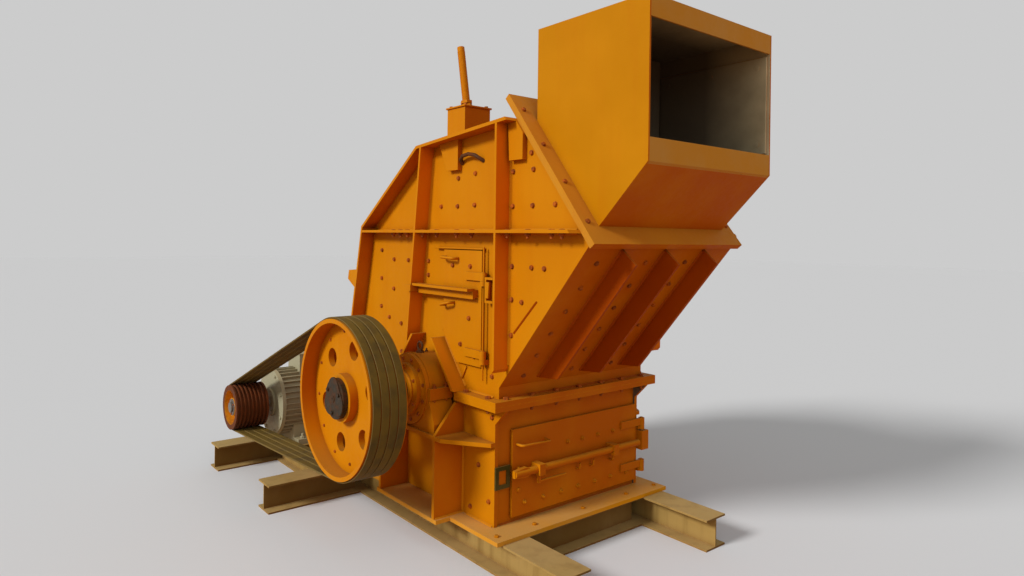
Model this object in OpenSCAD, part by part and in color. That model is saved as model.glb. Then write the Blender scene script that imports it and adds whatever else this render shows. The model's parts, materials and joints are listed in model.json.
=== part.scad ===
// Horizontal-shaft impact crusher on a beam skid, with a feed hopper and a belt drive.
// The machine is drawn about its rotor: X points to the feed mouth, Y lies along the
// rotor shaft and Z is up. Every node is then moved so that the origin lies on the
// floor under the middle of the whole machine.

/* [Casing] */
// Least width across the outer faces of the side plates, if the front door fits
casing_w = 1300; // [1240:10:1400]
// Thickness of the side plates
side_t = 25; // [16:1:32]
// Thickness of the front, roof and back plates
wrap_t = 20; // [12:1:28]
// Height of the lower frame, from its base plate to the split face
lower_h = 755; // [700:5:800]
// Front face of the lower frame, ahead of the rotor axis
lower_front = 677; // [660:1:700]
// Back face of the lower frame, behind the rotor axis
lower_back = 1050; // [1000:5:1090]
// How far the front wall sits behind the edges of the side plates
front_inset = 15; // [8:1:24]
// Thickness of one split flange
flange_t = 30; // [20:1:36]
// How far the split flanges stand out at the front and back
flange_out = 100; // [80:1:120]
// How far the split flanges stand out at the sides
flange_side = 80; // [60:1:95]
// Foot of the sloping front plate, above the split face
slope_foot = 106; // [80:1:140]
// Top of the sloping front plate: distance ahead of the rotor axis
throat_x = 1440; // [1400:5:1480]
// Top of the sloping front plate: height above the split face
throat_h = 990; // [950:5:1030]
// Front end of the roof, ahead of the rotor axis
roof_x = 880; // [860:5:920]
// Front end of the roof, above the split face
roof_h = 1680; // [1640:5:1720]
// Back end of the roof, behind the rotor axis
crown_x = 90; // [60:5:120]
// Back end of the roof, above the split face
crown_h = 1600; // [1560:5:1620]
// Shoulder of the back: distance behind the rotor axis
shoulder_x = 860; // [820:5:900]
// Shoulder of the back: height above the split face
shoulder_h = 1065; // [1040:5:1100]
// Foot of the back wall, behind the rotor axis
heel_x = 1080; // [1060:5:1120]

/* [Stiffeners] */
// How far the side ribs and the roof and back plates stand out from the side plates
rib_d = 110; // [80:1:130]
// Thickness of the side ribs
rib_t = 18; // [12:1:24]
// Upright front rib, ahead of the rotor axis
front_rib_x = 785; // [770:1:810]
// Leaning rib at its top, behind the rotor axis
lean_rib_top = 40; // [30:1:60]
// Leaning rib at its foot, behind the rotor axis
lean_rib_foot = 195; // [180:1:215]
// Level rib, above the split face
level_rib_h = 1030; // [1000:5:1060]
// Slanting ribs over the bearings: distance of their tops from the rotor axis
guard_rib_x = 120; // [100:1:150]
// Slanting ribs over the bearings: height of their tops above the split face
guard_rib_h = 340; // [320:1:360]
// Depth of the ribs under the sloping front plate
slope_rib_d = 130; // [90:1:140]
// Distance between the ribs under the sloping front plate
slope_rib_step = 370; // [340:5:440]

/* [Feed hopper] */
// Width across the outer faces of the hopper
hopper_w = 1118; // [1060:2:1160]
// Thickness of the hopper plates
hopper_t = 12; // [8:1:16]
// Thickness of one feed flange
feed_flange_t = 20; // [14:1:26]
// How far the feed flanges run on above the roof
feed_flange_top = 190; // [150:5:220]
// Lower edge of the hopper, up the feed flange
hopper_start = 70; // [60:1:90]
// Back wall of the hopper, ahead of the rotor axis
hopper_back = 922; // [915:1:940]
// Mouth of the hopper, ahead of the rotor axis
mouth_x = 1753; // [1720:1:1800]
// Bottom of the mouth face, above the split face
mouth_low = 1392; // [1370:2:1420]
// Top of the hopper, above the split face
hopper_top = 2226; // [2180:2:2260]
// Height of the lower lip of the mouth
low_lip = 121; // [100:1:140]
// Height of the upper lip of the mouth
high_lip = 112; // [90:1:130]

/* [Skid] */
// Height of the beams
beam_h = 200; // [180:5:220]
// Width of the beam flanges
beam_w = 200; // [180:5:210]
// Thickness of the beam flanges
beam_flange_t = 12; // [9:1:15]
// Thickness of the beam webs
beam_web_t = 8; // [6:1:12]
// Distance between the long beams
beam_gauge = 1248; // [1220:2:1270]
// Front ends of the long beams, ahead of the rotor axis
skid_front = 1370; // [1300:5:1420]
// Back ends of the long beams, behind the rotor axis
skid_back = 2260; // [2250:5:2320]
// Front cross beam, ahead of the rotor axis
front_beam_x = 745; // [735:1:755]
// Middle cross beam, behind the rotor axis
middle_beam_x = 1000; // [990:1:1010]
// Rear cross beam, behind the rotor axis
rear_beam_x = 2150; // [2140:1:2155]
// How far the middle and rear beams reach out to the drive side
outrigger_y = 1440; // [1430:1:1460]
// Thickness of the base plate
base_t = 25; // [20:1:32]
// How far the base plate stands out from the lower frame at the front
base_out = 180; // [150:5:200]
// How far the base plate stands out from the side plates and at the back
base_side = 115; // [100:1:130]

/* [Rotor and bearings] */
// Diameter of the rotor over its blow bars
rotor_d = 1000; // [940:10:1040]
// Diameter of the rotor discs
disc_d = 840; // [780:10:860]
// Length of the rotor
rotor_l = 1050; // [1000:10:1080]
// Number of blow bars
bar_count = 4; // [3:1:6]
// Number of rotor discs
disc_count = 4; // [3:1:6]
// Diameter of the shaft
shaft_d = 160; // [140:2:180]
// Outer diameter of the bearing housings
bearing_d = 460; // [420:5:470]
// Length of the bearing housings
bearing_l = 190; // [170:5:200]
// Distance from the side plate to the bearing housing
bearing_gap = 20; // [16:1:30]
// Height of the bearing feet
bearing_foot_h = 60; // [45:1:70]
// Half the length of the bearing seats
seat_x = 350; // [335:5:370]
// How far the bearing seats stand out from the side plates
seat_d = 220; // [215:1:240]
// Bearing seat below the rotor axis
seat_drop = 240; // [237:1:250]
// Gap between the blow bars and the tips of the aprons
apron_gap = 118; // [80:1:140]
// Thickness of the aprons
apron_t = 70; // [50:1:90]
// Knee of the front apron, ahead of the rotor axis
front_knee_x = 480; // [460:5:500]
// Knee of the front apron, above the rotor axis
front_knee_h = 950; // [920:5:980]
// Knee of the rear apron, behind the rotor axis
rear_knee_x = 400; // [380:5:420]
// Knee of the rear apron, above the rotor axis
rear_knee_h = 880; // [850:5:900]

/* [Drive] */
// Diameter of the crusher pulley
wheel_d = 980; // [940:10:1000]
// Face width of the crusher pulley
wheel_w = 240; // [220:2:260]
// Number of holes in the web of the crusher pulley
web_holes = 6; // [4:1:8]
// Middle of the belts, from the middle of the machine
belt_y = 1270; // [1255:1:1285]
// Diameter of the motor pulley
small_d = 360; // [320:5:400]
// Face width of the motor pulley
small_w = 260; // [245:1:280]
// Number of belt grooves in the motor pulley
groove_count = 8; // [6:1:10]
// Motor axis, behind the rotor axis
motor_x = 1900; // [1860:5:1940]
// Height of the motor shaft above its feet
motor_h = 315; // [300:5:335]
// Height of the motor's slide rails
rail_h = 45; // [35:1:60]
// Diameter of the motor frame over its cooling fins
motor_d = 560; // [500:5:590]
// Length of the finned motor frame
motor_l = 700; // [650:10:760]
// Number of cooling fins
fin_count = 36; // [24:4:48]
// Thickness of the belts
belt_t = 11; // [8:1:14]

/* [Doors] */
// Width of the side inspection door
side_door_w = 415; // [380:5:420]
// Height of the side inspection door
side_door_h = 720; // [640:5:740]
// Free edge of the side door, ahead of the rotor axis
side_door_x = 140; // [135:1:160]
// Top of the side door, below the level rib
side_door_drop = 110; // [80:1:130]
// Width of the front access door
front_door_w = 1140; // [1080:5:1150]
// Height of the front access door
front_door_h = 540; // [500:5:560]
// Thickness of the doors
door_t = 20; // [14:1:24]
// Diameter of the front door's lock bar
lock_bar_d = 45; // [36:1:52]

/* [Hidden] */
$fn = 96;

// Clearances
shaft_clear = 0.3;     // round a turning shaft
belt_clear = 0.3;      // between the belts and their pulleys
pin_clear = 0.3;       // round a hinge pin
weld_gap = 0.2;        // between a sloping plate and what is welded on it
door_gap = 5;          // seal between a shut door and its wall
door_edge = 30;        // overlap of a door on its wall, all round
door_side_gap = 5;     // from the front door to the far side plate
door_near_rim = 35;    // least wall left beside the front door
rib_clear = 8;         // between a lock bar and a rib
past = 1;              // how far a cutter runs on past what it cuts

// Levels and faces
half_w = max(casing_w, front_door_w + 2*side_t + door_side_gap + door_near_rim)/2;
inner_half = half_w - side_t;
base_top = beam_h + base_t;
split_z = base_top + lower_h;
upper_z = split_z + flange_t;
lower_z = split_z - flange_t;
beam_y = beam_gauge/2;
motor_z = beam_h + rail_h + motor_h;

// Casing outline in side view, from the front foot round to the back foot
slope_step = 12;
slope_low = [lower_front + slope_step, split_z + slope_foot];
front_foot = [slope_low[0], upper_z];
throat = [throat_x, split_z + throat_h];
roof_front = [roof_x, split_z + roof_h];
crown = [-crown_x, split_z + crown_h];
shoulder = [-shoulder_x, split_z + shoulder_h];
heel = [-heel_x, upper_z];
outline = [front_foot, slope_low, throat, roof_front, crown, shoulder, heel];

// Feed flange plane: along the slope from the throat to the roof, and square to it
feed_run = roof_front - throat;
feed_len = norm(feed_run);
feed_u = feed_run/feed_len;
feed_n = [feed_u[1], -feed_u[0]];
function on_feed(s, n) = throat + s*feed_u + n*feed_n;

// Hopper outline in side view
hopper_half = hopper_w/2;
hopper_inner = hopper_half - hopper_t;
hopper_foot = on_feed(hopper_start, 2*feed_flange_t);
hopper_back_s = (throat[0] + 2*feed_flange_t*feed_n[0] - hopper_back)/-feed_u[0];
hopper_heel = on_feed(hopper_back_s, 2*feed_flange_t);
mouth_foot = [mouth_x, split_z + mouth_low];
hopper_top_z = split_z + hopper_top;
hopper_outline = [hopper_foot, mouth_foot, [mouth_x, hopper_top_z], [hopper_back, hopper_top_z],
                  hopper_heel];

// Middle of the whole machine
seat_y = half_w + seat_d;
bearing_cover_t = 30;
bearing_y0 = half_w + bearing_gap;
bearing_y1 = bearing_y0 + bearing_l;
far_reach = bearing_y1 + bearing_cover_t;
x_mid = (mouth_x - skid_back)/2;
y_mid = (max(far_reach, seat_y) - outrigger_y)/2;

// Paints
orange = [0.80, 0.45, 0.02];
tan_paint = [0.62, 0.52, 0.30];
dark_steel = [0.20, 0.19, 0.17];
steel = [0.55, 0.55, 0.52];
grey_paint = [0.58, 0.58, 0.55];
rubber = [0.16, 0.14, 0.09];
rust = [0.36, 0.17, 0.08];

module placed() {
    translate([-x_mid, -y_mid, 0]) children();
}

// Extrudes an outline drawn in X and Z between two Y values
module along_y(y_from, y_to) {
    translate([0, y_to, 0]) rotate([90, 0, 0]) linear_extrude(y_to - y_from) children();
}

module cyl_y(d, y_from, y_to, x = 0, z = split_z) {
    translate([x, y_to, z]) rotate([90, 0, 0]) cylinder(d = d, h = y_to - y_from);
}

module block(low, high) {
    translate(low) cube(high - low);
}

module mirrored_y() {
    mirror([0, 1, 0]) children();
}

// Point where two edges meet once both are pushed out by t
function pushed(a, b, c, t) =
    let (u = (b - a)/norm(b - a), v = (c - b)/norm(c - b),
         n = [u[1], -u[0]], m = [v[1], -v[0]])
    b + (n + m)*t/(1 + n*m);

// Outer corner where a plate of thickness t on the edge from a to b is cut off in the
// plane through q that is square to n
function cut_end(a, b, t, q, n) =
    let (u = (b - a)/norm(b - a), p = a + [u[1], -u[0]]*t)
    p - u*((p - q)*n)/(u*n);

// Outer corners of the casing plates: the first and last lie on the split flange, and
// those at the throat and the roof lie on the feed flange
outer = [
    cut_end(front_foot, slope_low, wrap_t, front_foot, [0, 1]),
    pushed(front_foot, slope_low, throat, wrap_t),
    cut_end(slope_low, throat, wrap_t, throat, feed_n),
    cut_end(roof_front, crown, wrap_t, throat, feed_n),
    pushed(roof_front, crown, shoulder, wrap_t),
    pushed(crown, shoulder, heel, wrap_t),
    cut_end(shoulder, heel, wrap_t, heel, [0, 1])
];

// A plate, bent where need be, that lies on the outline from corner i to corner j
module wrap_plate(i, j, half) {
    along_y(-half, half) polygon([for (k = [i:j]) outline[k], for (k = [j:-1:i]) outer[k]]);
}

// Skid
beam_inner = beam_y - beam_w/2;
beam_outer = beam_y + beam_w/2;

// Beam section, width along X and height along Z
module beam_section(w) {
    translate([-w/2, 0]) square([w, beam_flange_t]);
    translate([-w/2, beam_h - beam_flange_t]) square([w, beam_flange_t]);
    translate([-beam_web_t/2, 0]) square([beam_web_t, beam_h]);
}

module beam_along_y(x, y_from, y_to) {
    translate([x, 0, 0]) along_y(y_from, y_to) beam_section(beam_w);
}

module beam_along_x(y, x_from, x_to, w = beam_w) {
    translate([x_from, y, 0]) rotate([90, 0, 90]) linear_extrude(x_to - x_from) beam_section(w);
}

module long_beam_near() {
    color(tan_paint) beam_along_x(-beam_y, -skid_back, skid_front);
}

module long_beam_far() {
    color(tan_paint) beam_along_x(beam_y, -skid_back, skid_front);
}

// Cross beams between the long beams, two of them carried on outside for the motor
module cross_beams() {
    color(tan_paint) {
        for (x = [front_beam_x, -middle_beam_x, -rear_beam_x])
            beam_along_y(x, -beam_inner, beam_inner);
        for (x = [-middle_beam_x, -rear_beam_x])
            beam_along_y(x, -outrigger_y, -beam_outer);
    }
}

// Base plate with the discharge opening, and ears under the bearing seats
discharge_rim = 10;
discharge_x0 = -lower_back + side_t + discharge_rim;
discharge_x1 = lower_front - front_inset - side_t - discharge_rim;
discharge_y = min(beam_inner, inner_half) - discharge_rim/2;

module base_plate() {
    color(orange) difference() {
        union() {
            block([-lower_back - base_side, -half_w - base_side, beam_h],
                  [lower_front + base_out, half_w + base_side, base_top]);
            block([-seat_x - base_t, -seat_y, beam_h], [seat_x + base_t, seat_y, base_top]);
        }
        block([discharge_x0, -discharge_y, beam_h - past],
              [discharge_x1, discharge_y, base_top + past]);
    }
}

// Lower frame: side plates that flare out under the split flange
shaft_hole_gap = 45;
shaft_hole_d = shaft_d + 2*shaft_hole_gap;

module lower_side(y_from) {
    color(orange) difference() {
        along_y(y_from, y_from + side_t)
            polygon([[-lower_back, base_top], [lower_front, base_top],
                     [lower_front, lower_z - flange_out], [lower_front + flange_out, lower_z],
                     [-lower_back - flange_out, lower_z], [-lower_back, lower_z - flange_out]]);
        cyl_y(shaft_hole_d, y_from - past, y_from + side_t + past);
    }
}

module lower_side_near() {
    lower_side(-half_w);
}

module lower_side_far() {
    lower_side(inner_half);
}

front_wall_x = lower_front - front_inset;
front_door_low = 35;
front_door_y1 = inner_half - door_side_gap;
front_door_y0 = front_door_y1 - front_door_w;
front_door_z0 = base_top + front_door_low;
front_door_z1 = front_door_z0 + front_door_h;

module lower_front_wall() {
    color(orange) difference() {
        block([front_wall_x - side_t, -inner_half, base_top], [front_wall_x, inner_half, lower_z]);
        block([front_wall_x - side_t - past, front_door_y0 + door_edge, front_door_z0 + door_edge],
              [front_wall_x + past, front_door_y1 - door_edge, front_door_z1 - door_edge]);
    }
}

module lower_back_wall() {
    color(orange) block([-lower_back, -inner_half, base_top],
                        [-lower_back + side_t, inner_half, lower_z]);
}

// Split flanges, cut away round the bearings and the shaft
module split_flange(z) {
    z0 = z - past;
    z1 = z + flange_t + past;
    color(orange) difference() {
        block([-lower_back - flange_out, -half_w - flange_side, z],
              [lower_front + flange_out, half_w + flange_side, z + flange_t]);
        block([-lower_back + side_t, -inner_half, z0], [front_wall_x - side_t, inner_half, z1]);
        for (y = [-half_w - flange_side - past, half_w])
            block([-seat_x, y, z0], [seat_x, y + flange_side + past, z1]);
        for (y = [-half_w - past, inner_half - past])
            block([-shaft_hole_d/2, y, z0], [shaft_hole_d/2, y + side_t + 2*past, z1]);
    }
}

module lower_split_flange() {
    split_flange(lower_z);
}

module upper_split_flange() {
    split_flange(split_z);
}

// Bearing seats: a shelf on gussets, with a tapering shelf on to the front corner
seat_z = split_z - seat_drop;
gusset_t = 25;
gusset_gap = 20;
gusset_top = lower_z - gusset_gap;
gusset_lip = 60;
shelf_corner = 60;

module bearing_seat() {
    shelf_z = seat_z - gusset_t;
    color(orange) {
        translate([0, 0, shelf_z]) linear_extrude(gusset_t)
            polygon([[-seat_x, -half_w], [-seat_x, -seat_y], [seat_x + shelf_corner, -seat_y],
                     [lower_front, -half_w - gusset_lip/2], [lower_front, -half_w]]);
        for (x = [-seat_x, seat_x - gusset_t]) {
            block([x, -seat_y, base_top], [x + gusset_t, -half_w, shelf_z]);
            translate([x, 0, 0]) rotate([90, 0, 90]) linear_extrude(gusset_t)
                polygon([[-half_w, shelf_z + gusset_t/2], [-seat_y, shelf_z + gusset_t/2],
                         [-seat_y, seat_z], [-half_w - gusset_lip, gusset_top],
                         [-half_w, gusset_top]]);
        }
    }
}

module bearing_seat_near() {
    bearing_seat();
}

module bearing_seat_far() {
    mirrored_y() bearing_seat();
}

// Slanting ribs over the bearings, which stand on the ends of the upper split flange
guard_foot_in = 22;
guard_top = [guard_rib_x, split_z + guard_rib_h];
guard_foot = [seat_x + guard_foot_in, upper_z];
guard_u = (guard_foot - guard_top)/norm(guard_foot - guard_top);
guard_n = [-guard_u[1], guard_u[0]];

// Height and place on a line that runs beside the front slanting rib, d from its middle
function guard_z(x, d) = guard_top[1] + d/guard_n[1] - (x - guard_top[0])*guard_n[0]/guard_n[1];
function guard_x(z, d) = guard_top[0] + d/guard_n[0] - (z - guard_top[1])*guard_n[1]/guard_n[0];

// Side door: its lower corner is cut off along the slanting rib
level_z = split_z + level_rib_h;
door_rib_gap = 35;
side_door_x1 = side_door_x + side_door_w;
side_door_z1 = level_z - side_door_drop;
side_door_z0 = side_door_z1 - side_door_h;

module side_door_outline(inset) {
    x0 = side_door_x + inset;
    x1 = side_door_x1 - inset;
    z0 = side_door_z0 + inset;
    z1 = side_door_z1 - inset;
    d = rib_t/2 + door_rib_gap + inset;
    polygon([[x0, z1], [x1, z1], [x1, z0], [max(x0, guard_x(z0, d)), z0],
             [x0, max(z0, guard_z(x0, d))]]);
}

// Upper casing
module upper_side(y_from) {
    color(orange) difference() {
        along_y(y_from, y_from + side_t) polygon(outline);
        cyl_y(shaft_hole_d, y_from - past, y_from + side_t + past);
        apron_shaft_holes();
    }
}

module upper_side_near() {
    color(orange) difference() {
        upper_side(-half_w);
        along_y(-half_w - past, -inner_half + past) side_door_outline(door_edge);
    }
}

module upper_side_far() {
    upper_side(inner_half);
}

module sloping_front_plate() {
    color(orange) wrap_plate(0, 2, half_w);
}

module roof_plate() {
    color(orange) wrap_plate(3, 4, half_w + rib_d);
}

module back_slope_plate() {
    color(orange) wrap_plate(4, 5, half_w + rib_d);
}

// Back wall with a pair of lifting lugs near its edges
lug_rise = 600;
lug_h = 140;
lug_out = 120;
lug_t = 40;
back_u = (heel - shoulder)/norm(heel - shoulder);
back_n = [back_u[1], -back_u[0]];

// Point on the outer face of the back wall at height z, d away from it
function on_back(z, d) = shoulder + back_u*(z - shoulder[1])/back_u[1] + (wrap_t + d)*back_n;

module back_wall_plate() {
    z0 = split_z + lug_rise;
    color(orange) {
        wrap_plate(5, 6, half_w + rib_d);
        for (y = [-half_w - rib_d, half_w + rib_d - lug_t])
            along_y(y, y + lug_t)
                polygon([on_back(z0, -past), on_back(z0 + lug_h, -past),
                         on_back(z0 + lug_h*0.75, lug_out), on_back(z0 + lug_h*0.25, lug_out)]);
    }
}

// Stiffening ribs on the near side plate, trimmed to the casing outline
lean_foot = [-lean_rib_foot, guard_z(lean_rib_foot, 0)];
lean_top = [-lean_rib_top, split_z + crown_h + wrap_t];
level_gap = 30;
level_front = throat_x - level_gap;

// A flat bar of thickness t between two points, cut off level at both ends
module bar_outline(a, b, t = rib_t) {
    half = [t/2*norm(b - a)/abs(b[1] - a[1]), 0];
    polygon([a - half, a + half, b + half, b - half]);
}

// The leaning rib stands on the slanting rib behind the bearing
module lean_rib_outline() {
    difference() {
        bar_outline(lean_foot, lean_top);
        mirror([1, 0]) guard_rib_outline(rib_t + 2*weld_gap);
    }
}

module front_rib_outline() {
    translate([front_rib_x - rib_t/2, split_z]) square([rib_t, roof_h]);
}

module guard_rib_outline(t = rib_t) {
    bar_outline(guard_foot, guard_top, t);
}

module upright_ribs() {
    color(orange) along_y(-half_w - rib_d, -half_w) intersection() {
        polygon(outline);
        union() {
            lean_rib_outline();
            front_rib_outline();
            guard_rib_outline();
            mirror([1, 0]) guard_rib_outline();
        }
    }
}

module level_ribs() {
    color(orange) along_y(-half_w - rib_d, -half_w) difference() {
        intersection() {
            polygon(outline);
            translate([-heel_x, level_z]) square([heel_x + level_front, rib_t]);
        }
        lean_rib_outline();
        front_rib_outline();
    }
}

module upright_ribs_near() {
    upright_ribs();
}

module upright_ribs_far() {
    mirrored_y() upright_ribs();
}

module level_ribs_near() {
    level_ribs();
}

module level_ribs_far() {
    mirrored_y() level_ribs();
}

// Ribs under the sloping front plate
slope_len = norm(throat - slope_low);
slope_u = (throat - slope_low)/slope_len;
slope_n = [slope_u[1], -slope_u[0]];
slope_rib_low = 60;
slope_rib_end = 40;
slope_rib_high = slope_len - slope_rib_end;

module slope_ribs() {
    color(orange) for (k = [-1:1]) {
        y = k*slope_rib_step;
        corners = [[slope_rib_low, 0], [slope_rib_high, 0], [slope_rib_high, slope_rib_d],
                   [slope_rib_low + slope_rib_d, slope_rib_d]];
        along_y(y - rib_t/2, y + rib_t/2)
            polygon([for (q = corners) slope_low + q[0]*slope_u + (wrap_t + weld_gap + q[1])*slope_n]);
    }
}

// Feed flanges: two frames in the sloping feed plane
feed_low = -50;
feed_high = feed_len + feed_flange_top;
feed_side = 20;
feed_half = half_w + feed_side;

// A rectangle in side view from s0 to s1 along the feed plane and n0 to n1 off it
function feed_patch(s0, s1, n0, n1) = [on_feed(s0, n0), on_feed(s0, n1), on_feed(s1, n1), on_feed(s1, n0)];

module feed_frame(n0) {
    n1 = n0 + feed_flange_t;
    color(orange) difference() {
        along_y(-feed_half, feed_half) polygon(feed_patch(feed_low, feed_high, n0, n1));
        along_y(-hopper_inner, hopper_inner)
            polygon(feed_patch(hopper_start + hopper_t, hopper_back_s - hopper_t, n0 - past, n1 + past));
    }
}

module casing_feed_flange() {
    feed_frame(0);
}

module hopper_flange() {
    feed_frame(feed_flange_t);
}

// Feed hopper
module hopper_side_near() {
    color(orange) along_y(-hopper_half, -hopper_inner) polygon(hopper_outline);
}

module hopper_side_far() {
    color(orange) along_y(hopper_inner, hopper_half) polygon(hopper_outline);
}

module hopper_back_plate() {
    color(orange) along_y(-hopper_inner, hopper_inner)
        polygon([hopper_heel, [hopper_back, hopper_top_z], [hopper_back + hopper_t, hopper_top_z],
                 hopper_heel + [hopper_t, hopper_t*feed_u[1]/feed_u[0]]]);
}

floor_u = (mouth_foot - hopper_foot)/norm(mouth_foot - hopper_foot);
floor_n = [-floor_u[1], floor_u[0]];
floor_end = mouth_foot - [hopper_t, hopper_t*floor_u[1]/floor_u[0]];

module hopper_floor() {
    color(orange) along_y(-hopper_inner, hopper_inner)
        polygon([hopper_foot, floor_end, floor_end + [0, hopper_t/floor_u[0]],
                 hopper_foot + hopper_t/(feed_u*floor_n)*feed_u]);
}

module hopper_top_plate() {
    color(orange) block([hopper_back + hopper_t, -hopper_inner, hopper_top_z - hopper_t],
                        [mouth_x - hopper_t, hopper_inner, hopper_top_z]);
}

module mouth_lips() {
    lip_top = mouth_foot[1] + low_lip;
    color(orange) {
        along_y(-hopper_inner, hopper_inner)
            polygon([mouth_foot, [mouth_x, lip_top], [mouth_x - hopper_t, lip_top], floor_end]);
        block([mouth_x - hopper_t, -hopper_inner, hopper_top_z - high_lip],
              [mouth_x, hopper_inner, hopper_top_z]);
    }
}

// Impact aprons, hung on shafts across the casing: each face runs from under its pivot
// by a knee to a tip near the path of the blow bars
apron_side_gap = 15;
apron_half = inner_half - apron_side_gap;
apron_shaft_d = 90;
apron_eye_d = 150;
front_pivot_drop = 165;
rear_pivot_in = 325;
rear_pivot_drop = 130;
roof_rise = (roof_front[1] - crown[1])/(roof_front[0] - crown[0]);
front_pivot = roof_front - [0, front_pivot_drop];
rear_pivot = crown + [rear_pivot_in, rear_pivot_in*roof_rise - rear_pivot_drop];
tip_r = rotor_d/2 + apron_gap;
front_tip_a = 72;
rear_tip_a = 148;
front_knee = [front_knee_x, split_z + front_knee_h];
rear_knee = [-rear_knee_x, split_z + rear_knee_h];
face_root = [20, -60];

function tip(a) = [tip_r*cos(a), split_z + tip_r*sin(a)];
front_face = [front_pivot + face_root, front_knee, tip(front_tip_a)];
rear_face = [rear_pivot + face_root, rear_knee, tip(rear_tip_a)];

module apron(pivot, face) {
    color(dark_steel) difference() {
        along_y(-apron_half, apron_half) {
            polygon([face[0], cut_end(face[0], face[1], apron_t, face[0], [0, 1]),
                     pushed(face[0], face[1], face[2], apron_t),
                     cut_end(face[1], face[2], apron_t, face[2], face[2] - face[1]), face[2], face[1]]);
            translate(pivot) circle(d = apron_eye_d);
        }
        cyl_y(apron_shaft_d, -apron_half - past, apron_half + past, pivot[0], pivot[1]);
    }
}

module front_apron() {
    apron(front_pivot, front_face);
}

module rear_apron() {
    apron(rear_pivot, rear_face);
}

module apron_shafts() {
    color(dark_steel) for (p = [front_pivot, rear_pivot])
        cyl_y(apron_shaft_d, -half_w, half_w, p[0], p[1]);
}

module apron_shaft_holes() {
    for (p = [front_pivot, rear_pivot])
        cyl_y(apron_shaft_d, -half_w - past, half_w + past, p[0], p[1]);
}

// Tapered lugs on the side plates, which close the ends of the apron shafts under the roof
hanger_t = 35;
hanger_up = 200;
hanger_front = 60;
hanger_drop = 60;
hanger_rib_gap = 10;
front_hanger_back = front_pivot[0] - front_rib_x - rib_t/2 - hanger_rib_gap;
rear_hanger_back = 200;

module apron_lug(pivot, back) {
    along_y(-half_w - hanger_t, -half_w) intersection() {
        polygon(outline);
        translate(pivot)
            polygon([
                [-back, hanger_up],
                [-hanger_drop, -hanger_drop],
                [hanger_front, -hanger_drop],
                [hanger_front, hanger_up]]);
    }
}

module apron_lug_pair() {
    apron_lug(front_pivot, front_hanger_back);
    apron_lug(rear_pivot, rear_hanger_back);
}

module apron_lugs() {
    color(orange) {
        apron_lug_pair();
        mirrored_y() apron_lug_pair();
    }
}

// Spring boxes on the roof and the rods that hold the front apron
box_x = 0;
box_y = 390;
box_l = 210;
box_w = 215;
box_h = 270;
rod_d = 52;
rod_lean = 10.8;
rod_l = 470;
rod_root = 50;
rod_back = 20;
rod_x = box_x - rod_back;
nut_af = 80;
nut_h = 42;
roof_angle = atan2(roof_front[1] - crown[1], roof_front[0] - crown[0]);
function roof_z(x) = crown[1] + (x - crown[0])*tan(roof_angle) + (wrap_t + weld_gap)/cos(roof_angle);
box_top = roof_z(box_x) + box_h;

module spring_boxes() {
    x0 = box_x - box_l/2;
    x1 = box_x + box_l/2;
    color(orange) for (y = [-box_y, box_y])
        along_y(y - box_w/2, y + box_w/2)
            polygon([[x0, roof_z(x0)], [x1, roof_z(x1)], [x1, box_top], [x0, box_top]]);
}

module apron_rods() {
    color(orange) for (y = [-box_y, box_y])
        translate([rod_x, y, box_top]) difference() {
            rotate([0, -rod_lean, 0]) translate([0, 0, -rod_root]) {
                cylinder(d = rod_d, h = rod_root + rod_l);
                cylinder(d = nut_af, h = rod_root + nut_h, $fn = 6);
            }
            block([-box_l, -box_w, -box_h], [box_l, box_w, 0]);
        }
}

// Bearing housings: a round body on a foot, split at the shaft, with a cover
cover_d = 340;
bearing_side_gap = 15;
bearing_foot = seat_x - gusset_t - bearing_side_gap;
foot_in = 10;
ear_out = 34;
ear_h = 36;

module bearing_outline() {
    r = bearing_d/2;
    translate([0, split_z]) circle(r = r);
    translate([-r - ear_out, split_z - ear_h]) square([2*(r + ear_out), 2*ear_h]);
    polygon([[-bearing_foot, seat_z], [bearing_foot, seat_z], [bearing_foot, seat_z + bearing_foot_h],
             [r, split_z], [-r, split_z], [-bearing_foot, seat_z + bearing_foot_h]]);
}

module bearing() {
    color(orange) difference() {
        union() {
            along_y(-bearing_y1 + foot_in, -bearing_y0 - foot_in) bearing_outline();
            cyl_y(bearing_d, -bearing_y1, -bearing_y0);
            cyl_y(cover_d, -far_reach, -bearing_y1);
        }
        cyl_y(shaft_d + 2*shaft_clear, -far_reach - past, -bearing_y0 + past);
    }
}

module bearing_near() {
    bearing();
}

module bearing_far() {
    mirrored_y() bearing();
}

// Rotor: a shaft with an end plate, and discs that hold the blow bars
hub_front = 45;
end_plate_d = 250;
end_plate_t = 30;
shaft_tip = belt_y + wheel_w/2 - hub_front + shaft_clear;
blow_bar_t = 90;
blow_bar_root = 150;
bar_start = 45;
disc_t = 60;
disc_step = (rotor_l - disc_t)/(disc_count - 1);

module rotor_shaft() {
    color(dark_steel) {
        cyl_y(shaft_d, -shaft_tip, far_reach);
        cyl_y(end_plate_d, -shaft_tip - end_plate_t, -shaft_tip);
    }
}

module blow_bar() {
    block([disc_d/2 - blow_bar_root, -rotor_l/2, -blow_bar_t/2], [rotor_d/2 - past, rotor_l/2, blow_bar_t/2]);
}

module rotor_drum() {
    color(dark_steel) difference() {
        union() {
            for (k = [0:disc_count - 1])
                cyl_y(disc_d, -rotor_l/2 + k*disc_step, -rotor_l/2 + k*disc_step + disc_t);
            for (k = [0:bar_count - 1])
                translate([0, 0, split_z]) rotate([0, bar_start + k*360/bar_count, 0]) blow_bar();
        }
        cyl_y(shaft_d, -rotor_l, rotor_l);
    }
}

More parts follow.
